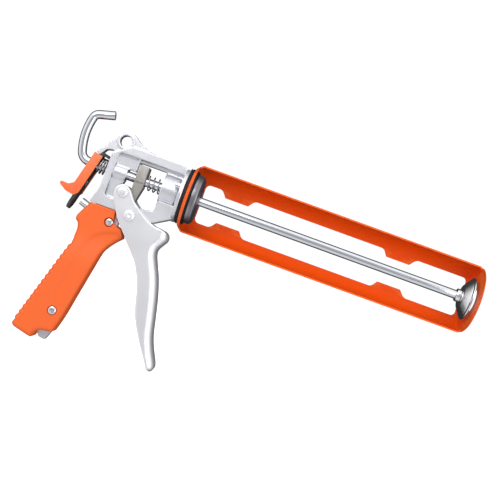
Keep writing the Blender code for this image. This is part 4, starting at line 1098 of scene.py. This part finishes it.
def make_floor():
    """White ground that adds no light to the part."""
    work = bmesh.new()
    bmesh.ops.create_grid(work, x_segments=1, y_segments=1, size=8)
    work.transform(Matrix.Translation((0, 0, -0.30)))
    floor = new_object("floor", work)
    look = bpy.data.materials.new("floor_white")
    look.use_nodes = True
    shader = look.node_tree.nodes["Principled BSDF"]
    shader.inputs["Base Color"].default_value = (0.9, 0.9, 0.9, 1)
    shader.inputs["Roughness"].default_value = 0.9
    shader.inputs["Emission Color"].default_value = (1, 1, 1, 1)
    shader.inputs["Emission Strength"].default_value = 1.0
    floor.data.materials.append(look)
    floor.visible_glossy = False
    floor.visible_diffuse = False


def make_world():
    """White studio: bright over and in front, grey beside the viewer, dark flags behind the object."""
    world = bpy.data.worlds.new("studio")
    bpy.context.scene.world = world
    world.use_nodes = True
    tree = world.node_tree
    for node in list(tree.nodes):
        tree.nodes.remove(node)
    place = tree.nodes.new("ShaderNodeTexCoord").outputs["Generated"]
    parts = tree.nodes.new("ShaderNodeSeparateXYZ")
    tree.links.new(place, parts.inputs[0])
    ramp = tree.nodes.new("ShaderNodeValToRGB")
    half = number(tree, "MULTIPLY", parts.outputs["Y"], 0.5)
    tree.links.new(number(tree, "ADD", half, 0.5), ramp.inputs[0])
    stops = ((0.0, 0.46), (0.04, 0.46), (0.14, 1.05), (0.42, 1.05), (0.58, 0.30), (0.76, 0.04))
    while len(ramp.color_ramp.elements) < len(stops):
        ramp.color_ramp.elements.new(0.5)
    for element, (at, level) in zip(ramp.color_ramp.elements, stops):
        element.position = at
        element.color = (level, level, level * 1.03, 1)
    studio = tree.nodes.new("ShaderNodeBackground")
    tree.links.new(ramp.outputs[0], studio.inputs["Color"])
    tree.links.new(spread(tree, parts.outputs["Z"], -0.8, 0.8, 0.75, 1.10), studio.inputs["Strength"])
    white = tree.nodes.new("ShaderNodeBackground")
    white.inputs["Color"].default_value = (1, 1, 1, 1)
    white.inputs["Strength"].default_value = 1.05
    seen = tree.nodes.new("ShaderNodeLightPath").outputs["Is Camera Ray"]
    mix = tree.nodes.new("ShaderNodeMixShader")
    tree.links.new(seen, mix.inputs[0])
    tree.links.new(studio.outputs[0], mix.inputs[1])
    tree.links.new(white.outputs[0], mix.inputs[2])
    out = tree.nodes.new("ShaderNodeOutputWorld")
    tree.links.new(mix.outputs[0], out.inputs["Surface"])


def area_light(name, place, aim, size, power):
    data = bpy.data.lights.new(name, "AREA")
    data.shape = "RECTANGLE"
    data.size, data.size_y = size
    data.energy = power
    light = bpy.data.objects.new(name, data)
    bpy.context.scene.collection.objects.link(light)
    light.location = place
    light.rotation_euler = (Vector(aim) - Vector(place)).to_track_quat("-Z", "Y").to_euler()
    light.visible_camera = False
    return light


def make_camera():
    """Looks along +Y at the near side, rolled so that the muzzle points down to the right."""
    roll = math.radians(19.95)
    data = bpy.data.cameras.new("camera")
    data.lens = 67.0
    data.sensor_width = 36.0
    camera = bpy.data.objects.new("camera", data)
    bpy.context.scene.collection.objects.link(camera)
    lower = Matrix.Rotation(math.radians(0.6), 3, "X")
    right = lower @ Vector((math.cos(roll), 0, math.sin(roll)))
    up = lower @ Vector((-math.sin(roll), 0, math.cos(roll)))
    away = lower @ Vector((0, -1, 0))
    turn = Matrix((right, up, away)).transposed()
    aim, distance = Vector((0.127, 0, 0.0641)), 0.720
    camera.matrix_world = Matrix.Translation(aim + away * distance) @ turn.to_4x4()
    bpy.context.scene.camera = camera


make_casting()
make_cradle()
make_washer("washer_front_ring", "washer_front", 21.3)
make_washer("washer_rear_ring", "washer_rear", 22.0)
make_retaining_nut()
make_grip_half("grip_near", -1, "grip_left")
make_grip_half("grip_far", 1, "grip_right")
make_grip_screw("screw_upper", SCREW_UPPER, "grip_screw_upper")
make_grip_screw("screw_lower", SCREW_LOWER, "grip_screw_lower")
make_trigger()
make_rivet("pivot_rivet", PIVOT, "frame", "trigger_pivot_pin", 0.5)
make_rivet("drive_rivet", DRIVE_PIN, "trigger", "drive_pin", 0.0)
make_roller()
make_drive_block()
make_rod()
make_dish()
make_hub()
make_release_plate()
make_thumb_lever()
return_coil = make_return_spring()
release_coil = make_release_spring()

for piece, body, finish, replaced in SHOWN:
    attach(piece, body)
    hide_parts(*replaced)
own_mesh(return_coil)
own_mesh(release_coil)

for subpart in frame["record"]["subparts"]:
    node = frame["nodes"][subpart["node"]]
    node.data.materials.clear()
    node.data.materials.append(FINISHES[subpart["material_slot"]])

make_floor()
make_world()
area_light("key", (-0.25, -0.90, 0.60), (0.08, 0, 0.05), (0.7, 0.5), 3.6)
area_light("fill", (0.60, -0.60, 0.10), (0.15, 0, 0.05), (0.4, 0.6), 1.2)
make_camera()
bpy.context.scene.view_settings.view_transform = "Standard"
